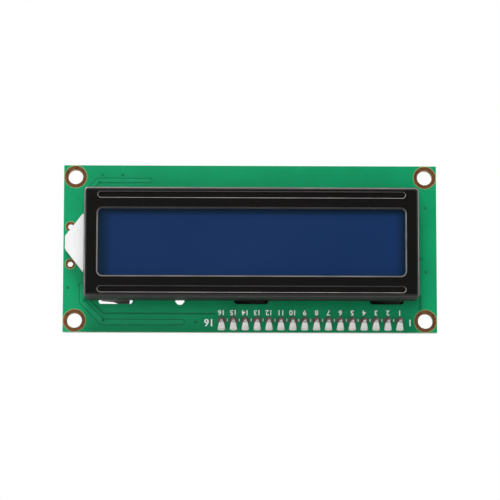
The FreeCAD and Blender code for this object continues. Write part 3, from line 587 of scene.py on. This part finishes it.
# The brown of the painted shade, mixed with flux, on the upper halves of the front pins.
shade_and_flux_brown = srgb(132, 112, 106)
metals = (
    ("tinned_metal", (0.78, 0.76, 0.71), (0.6, 0.58, 0.54), 0.25, 0.65),
    ("solder", grey(0.92), grey(0.8), 0.22, 0.6, 0.8, 0.05),
    ("silicon", grey(0.25), grey(0.2), 0.1),
    ("contact_metal", srgb(222, 200, 150), srgb(200, 176, 124), 0.2),
)
for slot, *look in metals:
    finishes[slot] = metal(slot, *look)
print("metals:", len(metals))

# %% [markdown]
# Two finishes change from front to back or from top to bottom. The bare pads are tarnished
# copper in front and have a pale gold wash behind. The solder in front is painted near white
# below the pins and dark brown above them, painted reflections of the bright room below and of
# the dark bezel above, and flux has left brown on each pad.

# %% Pads and front solder
def bare_pads():
    """Bare pads: tarnished copper in front, and a pale gold wash on the back of the board."""
    finish = Finish("bare pads", Metallic=0.6, Specular_IOR_Level=0.4)
    y = finish.xyz()[1]
    behind = finish.step(y, board_high.y - 0.1, board_high.y - 0.02)
    stain = finish.step(finish.noise(0.9, 3), 0.4, 0.65)
    front = finish.mix(stain, srgb(128, 84, 54), srgb(98, 60, 36))
    back = finish.mix(stain, srgb(232, 217, 174), srgb(212, 190, 140))
    return finish.wear(Base_Color=finish.mix(behind, front, back), Roughness=0.35 + stain * 0.2)


def front_solder():
    """Solder painted near white below the pins and dark brown above them, painted reflections of
    the bright room and of the dark bezel, with flux on the pads.
    """
    finish = Finish("front solder", Specular_IOR_Level=0.5)
    _, y, z = finish.xyz()
    ripple = finish.noise(0.5, 2)
    on_pad = finish.step(y, board_low.y - 0.12, board_low.y - 0.08)
    # Painted reflections: above the pins the solder is painted dark brown, as if it mirrored the
    # dark bezel, and below them near white, as if it mirrored the bright room; on the pad the
    # brown is flux.
    above = finish.step(z + ripple * 0.5, pin_z - 0.35, pin_z + 0.05)
    flux_and_painted_shade = z.math("MAXIMUM", on_pad, above)
    dark = finish.mix(ripple, srgb(120, 104, 102), srgb(80, 68, 66))
    return finish.wear(
        Base_Color=finish.mix(flux_and_painted_shade, (0.98, 0.94, 0.94), dark), Metallic=0.15 + flux_and_painted_shade * 0.05,
        Roughness=0.3 + ripple * 0.15, Normal=finish.bump(ripple, 0.03, 0.5))


finishes["copper_pad"] = bare_pads()
front_solder_finish = front_solder()
print(len(finishes) + 1, "finishes ready")

# %% [markdown]
# ## Softening the CAD parts
# Real edges are never razor sharp: a tiny radius catches the light and draws the outline. A
# CAD node is loose triangles, so a copy of it is merged, its flat faces are joined again, and
# every sharp edge gets a small bevel. The copy then stands in for the node on screen.

# %% A piece from a shape
slot_of = {part["node"]: part["material_slot"] for part in frame["record"]["subparts"]}
body_of = {
    node: body
    for body, group in frame["record"]["behaviour"]["bodies"].items() for node in group}


def finish_piece(name, bm, slot, body="module", stands_for=(), material=None, sharp=35):
    """Turns a bmesh in millimetres into a piece that rides on its body."""
    bmesh.ops.scale(bm, vec=(mm, mm, mm), verts=bm.verts)
    mesh = bpy.data.meshes.new(name)
    bm.to_mesh(mesh)
    bm.free()
    mesh.shade_smooth()
    mesh.set_sharp_from_angle(angle=math.radians(sharp))
    mesh.materials.append(material or finishes[slot])
    piece = bpy.data.objects.new(name, mesh)
    bpy.context.scene.collection.objects.link(piece)
    if stands_for:
        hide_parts(*stands_for)
    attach(piece, body)
    return piece


print("slots:", len(set(slot_of.values())), "- nodes:", len(slot_of))

# %% Softened copies of the nodes
merge_distance = 0.0005
flat_angle = math.radians(0.5)


def merged_copy(node):
    """A node's mesh in millimetres, with its triangles merged into flat faces."""
    bm = bmesh.new()
    bm.from_mesh(nodes[node].data)
    bmesh.ops.scale(bm, vec=(1 / mm, 1 / mm, 1 / mm), verts=bm.verts)
    bmesh.ops.remove_doubles(bm, verts=bm.verts, dist=merge_distance)
    bmesh.ops.dissolve_limit(bm, angle_limit=flat_angle, verts=bm.verts, edges=bm.edges)
    return bm


def bevel(bm, edges, radius, segments=2):
    bmesh.ops.bevel(
        bm, geom=edges, offset=radius, affect="EDGES", segments=segments, profile=0.5,
        material=-1, clamp_overlap=True)


def sharp_edges(bm, sharp=28):
    return [e for e in bm.edges if e.is_manifold and e.calc_face_angle() > math.radians(sharp)]


def softened_piece(bm, node, name):
    """Finishes a bevelled copy, and weights its normals so that only the bevels look round."""
    piece = finish_piece(name, bm, slot_of[node], body_of[node], [node])
    piece.modifiers.new("flat faces stay flat", "WEIGHTED_NORMAL").keep_sharp = True
    return piece


def soften(node, name, radius):
    bm = merged_copy(node)
    bevel(bm, sharp_edges(bm), radius)
    return softened_piece(bm, node, name)


softened = (
    ("backlight_housing", "white_tray", 0.08),
    ("header_pins", "long_header_pins", 0.06),
    ("header_strip", "long_header_plastic", 0.06),
    ("side_header_strip", "side_header_plastic", 0.06),
    ("side_header_pins", "side_header_wires", 0.06),
    ("jumper_header_strip", "jumper_header_plastic", 0.06),
    ("jumper_header_pins", "jumper_header_wires", 0.06),
    ("expander_chip_body", "wide_chip", 0.06),
    ("expander_chip_leads", "wide_chip_leads", 0.03),
    ("trimmer_housing", "trimmer_case", 0.08),
    ("trimmer_rotor", "trimmer_dial_face", 0.06),
    ("jumper_cap", "jumper_shell", 0.06),
    ("transistor_body", "small_transistor", 0.04),
    ("power_light", "power_light_lens", 0.05),
    ("power_light_ends", "power_light_caps", 0.03),
    ("lcd_board_resistors", "large_resistors", 0.04),
    ("lcd_board_resistor_ends", "large_resistor_caps", 0.04),
    ("serial_board_resistors", "small_resistors", 0.04),
    ("serial_board_resistor_ends", "small_resistor_caps", 0.04),
    ("capacitor", "capacitor_block", 0.05),
    ("capacitor_ends", "capacitor_caps", 0.05),
)
for node, name, radius in softened:
    piece = soften(node, name, radius)
    print(name, len(piece.data.polygons), "faces")

# %% [markdown]
# The bezel is pressed from one sheet, and a press can't make a sharp edge. Its two long
# grooves get the widest rounding, because the light that they catch draws the lines along
# the front. They are found by their place: on the front plane, between window and outer edge.
# Once the edges are round, each face is marked with the two attributes that the enamel reads:
# how bright a highlight is painted on it, and how far it turns aside from the front.

# %% Bezel
groove_radius = 0.2
lip_radius = 0.06
groove_reach = (9.2, 11.0)
window_reach = 33.5
slope_start, slope_ramp = 0.6, 0.08
# How bright the painted highlight on the bends is where they face up, sideways and down, and how
# much of it the window rim and the outer rolled edge keep.
catch_upward = 0.85
catch_sideways = 0.9
catch_downward = 0.12
rim_catch = 0.35
roll_catch = 0.9


def mark_faces(bm):
    """Sets bend and side on every face.

    The first is how bright a highlight is painted on a slope halfway round the bends, which the
    enamel mixes with a little wear: strong where the slope faces up towards the key lamp, hardly
    any where it faces down. side is how far a face turns away from the front.
    """
    bend_highlight = bm.faces.layers.float.new("bend_highlight")
    side = bm.faces.layers.float.new("side")
    bm.normal_update()
    for face in bm.faces:
        out, level = -face.normal.y, math.hypot(face.normal.x, face.normal.z)
        slope = min(max((min(out, level) - slope_start) / slope_ramp, 0), 1)
        if slope > 0:
            up = face.normal.z / level
            end = catch_upward if up > 0 else catch_downward
            face[bend_highlight] = slope * (catch_sideways + (end - catch_sideways) * abs(up))
            from_middle = face.calc_center_median() - (bezel_low + bezel_high) / 2
            if abs(from_middle.z) > groove_reach[1]:
                face[bend_highlight] *= roll_catch
            elif abs(from_middle.z) < groove_reach[0] and abs(from_middle.x) < window_reach:
                face[bend_highlight] *= rim_catch
        face[side] = 1 - abs(face.normal.y)


def press_bezel():
    bm = merged_copy("bezel_frame")
    middle_z = (bezel_low.z + bezel_high.z) / 2
    near, far = groove_reach
    grooves = [
        edge for edge in sharp_edges(bm)
        if all(abs(vert.co.y - bezel_low.y) < 0.02 for vert in edge.verts)
        and all(near < abs(vert.co.z - middle_z) < far for vert in edge.verts)]
    bevel(bm, grooves, groove_radius, 3)
    bm.normal_update()
    bevel(bm, sharp_edges(bm, 40), lip_radius)
    mark_faces(bm)
    return softened_piece(bm, "bezel_frame", "pressed_bezel")


print("pressed bezel", len(press_bezel().data.polygons), "faces")

# %% [markdown]
# ## Round shapes
# A lathe makes anything round: it draws half of the outline and spins it about an axis. What
# is long or lopsided is made by a loft instead, where ovals are drawn at several heights and
# bridged to each other. Both are closed up at the end, which merges the points that meet.

# %% A lathe and a loft
squareness = 6


def add_lathe(bm, outline, x, z, y, outward=1, steps=32):
    """Spins an outline of (radius, height) about the line along Y through (x, z)."""
    verts = [bm.verts.new((x + radius, y + outward * height, z)) for radius, height in outline]
    edges = [bm.edges.new(pair) for pair in zip(verts, verts[1:])]
    bmesh.ops.spin(
        bm, geom=verts + edges, cent=(x, y, z), axis=(0, 1, 0), angle=2 * math.pi,
        steps=steps, use_merge=True)


def add_loft(bm, ovals, x, z, y, outward=1, neck=0.38, segments=24):
    """Bridges squarish ovals of (height, half width, reach above, reach below).

    Each is only as wide as the neck at its upper end and widens towards its lower end. The
    edges go through a dict, which keeps their order, so that every run bridges them alike.
    """
    rings = []
    for height, half_width, above, below in ovals:
        circle = bmesh.ops.create_circle(bm, segments=segments, radius=1)["verts"]
        for vert in circle:
            across, up = vert.co.x, vert.co.y
            squarer = (abs(across) ** squareness + abs(up) ** squareness) ** (-1 / squareness)
            wide = neck + (half_width - neck) * max(-up * squarer, 0)
            vert.co = (
                x + across * squarer * wide, y + outward * height,
                z + up * squarer * (above if up > 0 else below))
        rings.append(list(dict.fromkeys(edge for vert in circle for edge in vert.link_edges)))
    for ring, next_ring in zip(rings, rings[1:]):
        bmesh.ops.bridge_loops(bm, edges=ring + next_ring)
    for ring in (rings[0], rings[-1]):
        bmesh.ops.edgeloop_fill(bm, edges=ring)


def close_up(bm):
    """Merges what meets and turns every face outward."""
    bmesh.ops.remove_doubles(bm, verts=bm.verts, dist=merge_distance)
    bmesh.ops.recalc_face_normals(bm, faces=bm.faces)
    return bm


print("lathe and loft ready")

# %% [markdown]
# One node can hold many separate solids, such as the joints of a whole row of pins. They are
# told apart by walking from corner to corner along the edges until no corner is left. The
# boxes come back sorted from right to left, so that each run gives the same order.

# %% The solids of a node
def box_round(points):
    """The lowest and the highest corner of the box round some points."""
    return [Vector([pick(p[axis] for p in points) for axis in range(3)]) for pick in (min, max)]


def solids_of(node):
    """The box of each separate solid of a node, in millimetres."""
    bm = merged_copy(node)
    waiting = set(bm.verts)
    boxes = []
    while waiting:
        front = [waiting.pop()]
        corners = []
        while front:
            vert = front.pop()
            corners.append(vert.co.copy())
            near = {edge.other_vert(vert) for edge in vert.link_edges} & waiting
            waiting -= near
            front.extend(near)
        boxes.append(box_round(corners))
    bm.free()
    return sorted(boxes, key=lambda box: (-box[0].x, box[0].z, box[0].y))


def middle_of(box):
    return (box[0] + box[1]) / 2


def height_of(box):
    return box[1].z - box[0].z


print("header pins:", len(solids_of("header_pins")), "solids")

# %% [markdown]
# Solder climbs a pin and flows out over its pad, so behind, each joint is a hollow cone round
# the pin. In front the boards were soldered by a wave that ran off downwards, which left a
# long hill below each pin: narrow at the pin and wide at its foot, on a round stained pad.

# %% Solder
back_cone = (
    (0, 1.2), (0.36, 1.2), (0.43, 1.12), (0.47, 0.85), (0.54, 0.5), (0.66, 0.2), (0.8, 0.04),
    (0.82, 0), (0, 0))
front_hill = (
    (0, 0.98, 0.6, 2.1), (0.1, 0.97, 0.58, 2.08), (0.4, 0.9, 0.52, 1.85), (0.8, 0.8, 0.46, 1.4),
    (1.2, 0.64, 0.42, 0.85), (1.42, 0.5, 0.4, 0.5), (1.5, 0.42, 0.36, 0.4))
front_pad = ((0, 0.06), (0.8, 0.06), (0.88, 0.03), (0.9, 0), (0, 0))


def cones(node, name, outline, outward):
    """A round joint in the place of every solid of a node, as high and as wide as the solid."""
    bm = bmesh.new()
    for box in solids_of(node):
        middle, reach = middle_of(box), (box[1] - box[0]) / 2
        wider, taller = reach.x / outline[-2][0], 2 * reach.y / outline[0][1]
        fitted = [(radius * wider, up * taller) for radius, up in outline]
        add_lathe(bm, fitted, middle.x, middle.z, middle.y - outward * reach.y, outward, 20)
    return finish_piece(name, close_up(bm), slot_of[node], body_of[node], [node], sharp=50)


hills = bmesh.new()
for x in pin_xs:
    add_loft(hills, front_hill, x, pin_z, 0, -1)
    add_lathe(hills, front_pad, x, pin_z, 0, -1, 24)
finish_piece(
    "front_solder_hills", close_up(hills), "solder", "module", ["front_solder_joints"],
    front_solder_finish, sharp=50)
cones("rear_solder_joints", "rear_solder_cones", back_cone, 1)
cones("serial_underside_joints", "underside_solder_cones", back_cone, -1)
cones("backlight_led_joints", "backlight_solder_domes", back_cone, 1)
print("solder joints:", 2 * len(pin_xs), "on the header")

# %% [markdown]
# The two driver chips are glued on bare and covered with a drop of black epoxy. It sets as a
# low dome with a steep rim, so its outline is given in shares of its radius and height.

# %% Epoxy domes
dome = (
    (0, 1.0), (0.45, 0.985), (0.72, 0.9), (0.88, 0.72), (0.97, 0.42), (1.0, 0.12), (1.0, 0),
    (0, 0))


def epoxy_dome(node, name):
    """A dome as wide and as high as the node's box."""
    low, high = box_mm(node)
    middle, size = (low + high) / 2, high - low
    bm = bmesh.new()
    outline = [(share * size.x / 2, up * size.y) for share, up in dome]
    add_lathe(bm, outline, middle.x, middle.z, low.y, 1, 64)
    return finish_piece(name, close_up(bm), "epoxy_blob", "module", [node], sharp=60)


epoxy_dome("driver_blob", "driver_dome")
epoxy_dome("second_driver_blob", "second_driver_dome")
print("two epoxy domes")

# %% [markdown]
# ## Prints and traces
# White ink marks the places of the parts, and the copper under the solder mask shows as low
# ridges. Both are made from thin strips and dots laid on the board. Digits come from a text
# curve that is made a mesh before it is turned and moved to its place. The dots that round
# a strip's corners are a little lower than the strip, so that no two faces lie in one plane.

# %% Strips, dots and frames
ink_line = 0.2
ink_height = 0.03
dot_share = 0.8


def add_strip(bm, start, end, width, y, height=ink_height):
    """A flat bar on a board from one (x, z) place to another, centred on y."""
    (x0, z0), (x1, z1) = start, end
    turn = math.atan2(z1 - z0, x1 - x0)
    size = Matrix.Diagonal((math.hypot(x1 - x0, z1 - z0), height, width, 1))
    place = Matrix.Translation(((x0 + x1) / 2, y, (z0 + z1) / 2)) @ Matrix.Rotation(-turn, 4, "Y")
    bmesh.ops.create_cube(bm, size=1, matrix=place @ size)


def add_dot(bm, place, radius, y, height=ink_height, segments=16):
    """A flat disc on a board at an (x, z) place."""
    stand = Matrix.Translation((place[0], y, place[1])) @ Matrix.Rotation(math.pi / 2, 4, "X")
    bmesh.ops.create_cone(
        bm, cap_ends=True, segments=segments, radius1=radius, radius2=radius, depth=height,
        matrix=stand)


def add_path(bm, places, width, y, height=ink_height, closed=False):
    """Strips from place to place, with a dot on each place to round the corners."""
    ends = list(places) + list(places[:1]) * closed
    for start, end in zip(ends, ends[1:]):
        add_strip(bm, start, end, width, y, height)
    for place in places:
        add_dot(bm, place, width / 2, y, height * dot_share)


def add_frame(bm, box, margin, y, line=ink_line):
    """An outline round a box, seen along Y."""
    (x0, _, z0), (x1, _, z1) = box
    x0, x1, z0, z1 = x0 - margin, x1 + margin, z0 - margin, z1 + margin
    add_path(bm, [(x0, z0), (x1, z0), (x1, z1), (x0, z1)], line, y, closed=True)


print("ink is %.2f mm high" % ink_height)

# %% Digits
def add_digits(bm, text, size, x, z, y, behind=False):
    """Digits as thin solid letters, upside down, to be read from the front or from behind."""
    curve = bpy.data.curves.new("digits", "FONT")
    curve.body = text
    curve.size = size
    curve.offset = 0.02 * size
    curve.extrude = ink_height / 2
    curve.resolution_u = 3
    curve.align_x = "CENTER"
    curve.align_y = "CENTER"
    item = bpy.data.objects.new("digits", curve)
    mesh = bpy.data.meshes.new_from_object(item)
    stand = Matrix.Rotation(math.pi / 2, 4, "X")
    face = Matrix.Rotation(math.pi if behind else 0, 4, "Z")
    upside_down = Matrix.Rotation(math.pi, 4, "Y")
    mesh.transform(Matrix.Translation((x, y, z)) @ upside_down @ face @ stand)
    bm.from_mesh(mesh)
    bpy.data.meshes.remove(mesh)
    bpy.data.objects.remove(item)
    bpy.data.curves.remove(curve)


print("digits ready")

# %% Ink and ridges
def ink():
    """White ink that lies on thinly, so it is a little patchy."""
    finish = Finish("white ink", Specular_IOR_Level=0.2)
    patchy = finish.step(finish.noise(0.35, 3), 0.3, 0.7)
    return finish.wear(
        Base_Color=finish.mix(patchy, grey(0.9), grey(0.99)), Roughness=0.5 + patchy * 0.2)


def ridge(name, colour, dark):
    """Solder mask where it bends over an edge of the copper."""
    finish = Finish(name, Specular_IOR_Level=0.15)
    mottle = finish.noise(2.0, 3)
    return finish.wear(Base_Color=finish.mix(mottle, colour, dark), Roughness=0.3 + mottle * 0.1)


white_ink = ink()
mask_rim = ridge("mask rim", srgb(176, 186, 122), srgb(140, 156, 92))
trace_face = ridge("trace face", srgb(20, 150, 101), srgb(16, 134, 87))
trace_edge = ridge("trace edge", srgb(12, 112, 72), srgb(11, 98, 62))
print("ink and traces ready")

# %% [markdown]
# In front, each pin of the header has its number, upside down as on the real board, with a
# short stroke between the pads and larger numbers at both ends of the row. A wide trace is
# a band in the mask's own colour on a slightly wider dark band, so only its edges show. The
# traces meet no part, so their corners are simply given as places on the board.

# %% Front of the display board
front_y = board_low.y - ink_height / 2
label_z = pin_z + 1.78
digit_size = 1.55
end_numbers = (("1", 1.9, pin_xs[0] + 2.2, -0.3), ("16", 2.15, pin_xs[-1] - 2.65, -0.35))
traces_in_front = (
    (((-14.6, -15.85), (-31.5, -15.85), (-35.9, -11.45), (-35.9, -8.1)), 1.0),
    (((-7.5, -14.0), (-31.3, -14.0), (-34.3, -11.0)), 0.0),
    (((-21.6, 14.75), (-32.6, 14.75), (-34.9, 12.45)), 0.75),
    (((36.4, -10.2), (36.4, -13.0)), 0.25),
)
vias_in_front = (
    (-31.7, 15.9), (-27.4, 15.9), (-39.0, -8.5), (-36.5, -7.9), (37.6, 8.9), (36.6, -2.1),
    (37.7, -5.0), (-11.6, -15.8))
via_radius = 0.32
edge_height, edge_margin = 0.01, 0.2
ridge_height, wide_trace = 0.02, 0.5

marks = bmesh.new()
for number, x in enumerate(pin_xs, 1):
    add_digits(marks, str(number), digit_size, x, label_z, front_y)
for x in pin_xs[:-1]:
    between = x - pitch / 2
    add_strip(marks, (between, pin_z + 0.45), (between, pin_z - 0.15), 0.16, front_y)
for number, size, x, up in end_numbers:
    add_digits(marks, number, size, x, pin_z + up, front_y)
finish_piece("front_pin_numbers", marks, "green_laminate", material=white_ink)

ridges, edges = bmesh.new(), bmesh.new()
edge_y, ridge_y = board_low.y - edge_height / 2, board_low.y - ridge_height / 2
for places, width in traces_in_front:
    add_path(edges, places, width + 2 * edge_margin, edge_y, edge_height)
    if width > wide_trace:
        add_path(ridges, places, width, ridge_y, ridge_height)
for place in vias_in_front:
    add_dot(edges, place, via_radius, edge_y, edge_height)
finish_piece("front_trace_edges", edges, "green_laminate", material=trace_edge)
finish_piece("front_traces", ridges, "green_laminate", material=trace_face)
print("front:", len(pin_xs) + 2, "numbers,", len(traces_in_front), "traces")

# %% [markdown]
# Round each bare ring in front, the solder mask ends in a thin pale rim. It follows the ring's
# own box, so it stays round the ring when the board changes.

# %% Rims of the solder mask
rim_outline = ((0, 0), (0.01, 0.02), (0.11, 0.02), (0.12, 0), (0, 0))

rims = bmesh.new()
for box in solids_of("corner_hole_rings") + solids_of("backlight_wire_pads"):
    if box[0].y < 0:
        middle, inner = middle_of(box), (box[1].x - box[0].x) / 2
        outline = [(inner + across, up) for across, up in rim_outline]
        add_lathe(rims, outline, middle.x, middle.z, board_low.y, -1, 48)
rims_piece = finish_piece(
    "front_mask_rims", close_up(rims), "green_laminate", material=mask_rim)
print("mask rims:", len(rims_piece.data.polygons), "faces")

# %% [markdown]
# Behind, white frames show where this version leaves parts out, and each part or group of
# pads has a number. The frames are drawn round the pads' own boxes, which are sorted by their
# height: tall pads, small pads, and the two columns of flat pads of a chip.

# %% Back of the display board: frames and brackets
back_y = board_high.y + ink_height / 2
frame_line = 0.26
resistor_boxes = solids_of("lcd_board_resistors")
foot_boxes = solids_of("bare_component_pads")
tall_pads = [box for box in foot_boxes if height_of(box) > 2]
small_pads = [box for box in foot_boxes if 1 < height_of(box) < 2]
flat_pads = [box for box in foot_boxes if height_of(box) < 1]


def round_all(boxes):
    """The box round several boxes."""
    return box_round([corner for box in boxes for corner in box])


def halves(boxes, axis):
    """Two boxes, round those beyond the middle along an axis and round those before it."""
    middle = middle_of(round_all(boxes))[axis]
    return [
        round_all([box for box in boxes if (middle_of(box)[axis] > middle) == beyond])
        for beyond in (True, False)]


def add_bracket(bm, box, side):
    """A square bracket round one end of a part."""
    middle = middle_of(box)
    half = height_of(box) / 2 + 0.35
    near, far = middle.x + side * 1.2, middle.x + side * ((box[1].x - box[0].x) / 2 + 1.0)
    corners = [(near, half), (far, half), (far, -half), (near, -half)]
    add_path(bm, [(x, middle.z + up) for x, up in corners], 0.24, back_y)


def chip_outline():
    """The corners of a long frame between the two columns of flat pads."""
    right, left = halves(flat_pads, 0)
    low, high = round_all(flat_pads)
    x0, x1, z0, z1 = left[1].x + 0.35, right[0].x - 0.35, low.z - 0.4, high.z + 0.5
    return [(x0, z0), (x1, z0), (x1, z1), (x0, z1)]


def add_ring(bm, node, gap=0.1, line=0.22):
    """A ring of ink round a dome."""
    low, high = box_mm(node)
    middle, inner = (low + high) / 2, (high.x - low.x) / 2 + gap
    outer = inner + line
    outline = ((inner, 0), (inner, ink_height), (outer, ink_height), (outer, 0), (inner, 0))
    add_lathe(bm, outline, middle.x, middle.z, board_high.y, 1, 64)


print("pads:", len(tall_pads), "tall,", len(small_pads), "small,", len(flat_pads), "flat")

# %% Back of the display board: numbers
mark_size, pin_mark_size, power_mark_size = 2.1, 1.7, 1.5
power_mark_x = board_low.x + 1.6


def numbers_behind():
    """Each number as (text, x, z, size)."""
    upper_pair, lower_pair = halves(tall_pads, 2)
    flat, small = round_all(flat_pads), round_all(small_pads)
    small_z = middle_of(small).z - 0.4
    upper, lower = sorted(resistor_boxes, key=lambda box: -box[0].z)
    blob_low, blob_high = box_mm("driver_blob")
    beside_blob = blob_low.x + 0.16 * (blob_high.x - blob_low.x)
    return (
        ("2", upper_pair[0].x - 1.6, middle_of(upper_pair).z, mark_size),
        ("1", lower_pair[0].x - 1.6, middle_of(lower_pair).z, mark_size),
        ("3", flat[1].x + 1.3, flat[1].z - 0.3, mark_size),
        ("3", small[1].x + 1.5, small_z, mark_size),
        ("1", small[0].x - 1.5, small_z, mark_size),
        ("8", middle_of(upper).x - 0.8, upper[1].z + 1.5, mark_size),
        ("9", lower[0].x - 2.3, middle_of(lower).z, mark_size),
        ("2", beside_blob, blob_high.z + 1.2, mark_size),
        ("1", pin_xs[0] + 2.0, pin_z - 0.2, pin_mark_size),
        ("16", pin_xs[-1] - 2.5, pin_z - 0.3, pin_mark_size),
        ("16", power_mark_x, 6.7, power_mark_size),
        ("15", power_mark_x, -5.4, power_mark_size))


marks = bmesh.new()
add_ring(marks, "driver_blob")
for box in resistor_boxes:
    add_bracket(marks, box, -1)
    add_bracket(marks, box, 1)
for box in halves(tall_pads, 2):
    add_frame(marks, box, 0.4, back_y, frame_line)
for box in small_pads:
    add_frame(marks, box, 0.3, back_y)
add_path(marks, chip_outline(), frame_line, back_y, closed=True)
for number, x, z, size in numbers_behind():
    add_digits(marks, number, size, x, z, back_y, behind=True)
finish_piece("back_marks", close_up(marks), "green_laminate", material=white_ink)
print("back:", len(numbers_behind()), "numbers and", len(resistor_boxes), "resistors")

# %% [markdown]
# Under the mask behind run a few long traces, which keep to the edges of the board and turn
# by 45 degrees. Two spare holes near the left edge, which no wire uses, have gold rings.

# %% Back of the display board: traces and rings
spare_hole_x = board_low.x + 4.25
spare_hole_zs = (2.06, -0.43)
spare_ring = ((0.44, 0), (0.44, 0.03), (0.85, 0.03), (0.85, 0), (0.44, 0))
traces_behind = (
    ((-36.6, -5.2), (-36.6, -10.6), (-33.6, -13.85), (-7.5, -13.85)),
    ((-25.2, 14.0), (-25.2, 7.5)), ((-22.9, 14.9), (-22.9, 2.0), (-24.2, 0.7)),
    ((-36.4, 6.0), (-36.4, 10.5), (-33.2, 13.7), (-7.0, 13.7)),
    ((35.2, 13.8), (10.0, 13.8)), ((36.2, -8.0), (36.2, 9.0)),
)
thin_trace = 0.3

traces, rings = bmesh.new(), bmesh.new()
for places in traces_behind:
    add_path(traces, places, thin_trace, board_high.y + edge_height / 2, edge_height)
for z in spare_hole_zs:
    add_lathe(rings, spare_ring, spare_hole_x, z, board_high.y, 1, 24)
finish_piece("back_traces", traces, "green_laminate", material=trace_edge)
finish_piece("spare_hole_rings", close_up(rings), "copper_pad")
print("back:", len(traces_behind), "traces and", len(spare_hole_zs), "ringed holes")

# %% [markdown]
# The serial board is marked more densely: a frame round every small part and the trimmer, a
# line below the chip and a dot at its first lead, a corner line beside each header, and one
# long line above the pin row. The four side pins are numbered from below.

# %% Serial board: frames and lines
serial_y = serial_high.y + ink_height / 2
framed_parts = ("power_light", "serial_board_resistors", "capacitor")
line_z = pin_z + 1.45
side_low, side_high = box_mm("side_header_strip")
jumper_low, jumper_high = box_mm("jumper_header_strip")
beside_side, beside_jumper = side_low.x - 0.5, jumper_high.x + 0.4
lines = (
    ((chip_low.x, chip_low.z - 0.45), (chip_high.x, chip_low.z - 0.45)),
    ((beside_side, side_high.z), (beside_side, side_low.z - 0.5),
     (side_high.x - 0.3, side_low.z - 0.5)),
    ((beside_jumper, jumper_high.z), (beside_jumper, jumper_low.z - 0.4),
     (jumper_low.x + 0.3, jumper_low.z - 0.4)),
)

marks = bmesh.new()
for node in framed_parts:
    for low, high in solids_of(node):
        upright = high.z - low.z > high.x - low.x
        ends = Vector((0.12, 0, 0.5) if upright else (0.5, 0, 0.12))
        add_frame(marks, (low - ends, high + ends), 0.22, serial_y, 0.18)
add_frame(marks, box_mm("trimmer_housing"), 0.4, serial_y)
add_dot(marks, (chip_high.x + 1.0, chip_high.z + 0.6), 0.3, serial_y)
for places in lines:
    add_path(marks, places, ink_line, serial_y)
add_path(marks, [(pin_xs[0] - 1.4, line_z), (pin_xs[-1] + 0.4, line_z)], 0.14, serial_y)
print("serial board:", len(lines) + 1, "lines")

# %% Serial board: numbers
small_digit = 1.3
side_pins = sorted(solids_of("side_header_pins"), key=lambda box: box[0].z)
for number, box in enumerate(side_pins, 1):
    add_digits(
        marks, str(number), small_digit, beside_side - 1.2, middle_of(box).z, serial_y,
        behind=True)
add_digits(marks, "1", small_digit, pin_xs[0] - pitch / 2, pin_z + 0.2, serial_y, behind=True)
finish_piece("serial_marks", marks, "black_laminate", material=white_ink)
print("serial board:", len(side_pins) + 1, "numbers")

# %% [markdown]
# Nodes that no piece stands for are shown as they are, so they only get their material. Most
# take the finish of their own slot, and the pads round the slots are gold like the others.

# %% Materials on the nodes that stay
gold_washed = ("tab_slot_pads", "bare_component_pads")
for node, item in nodes.items():
    item.data.materials.clear()
    item.data.materials.append(finishes["copper_pad" if node in gold_washed else slot_of[node]])
print("materials on", len(nodes), "nodes")
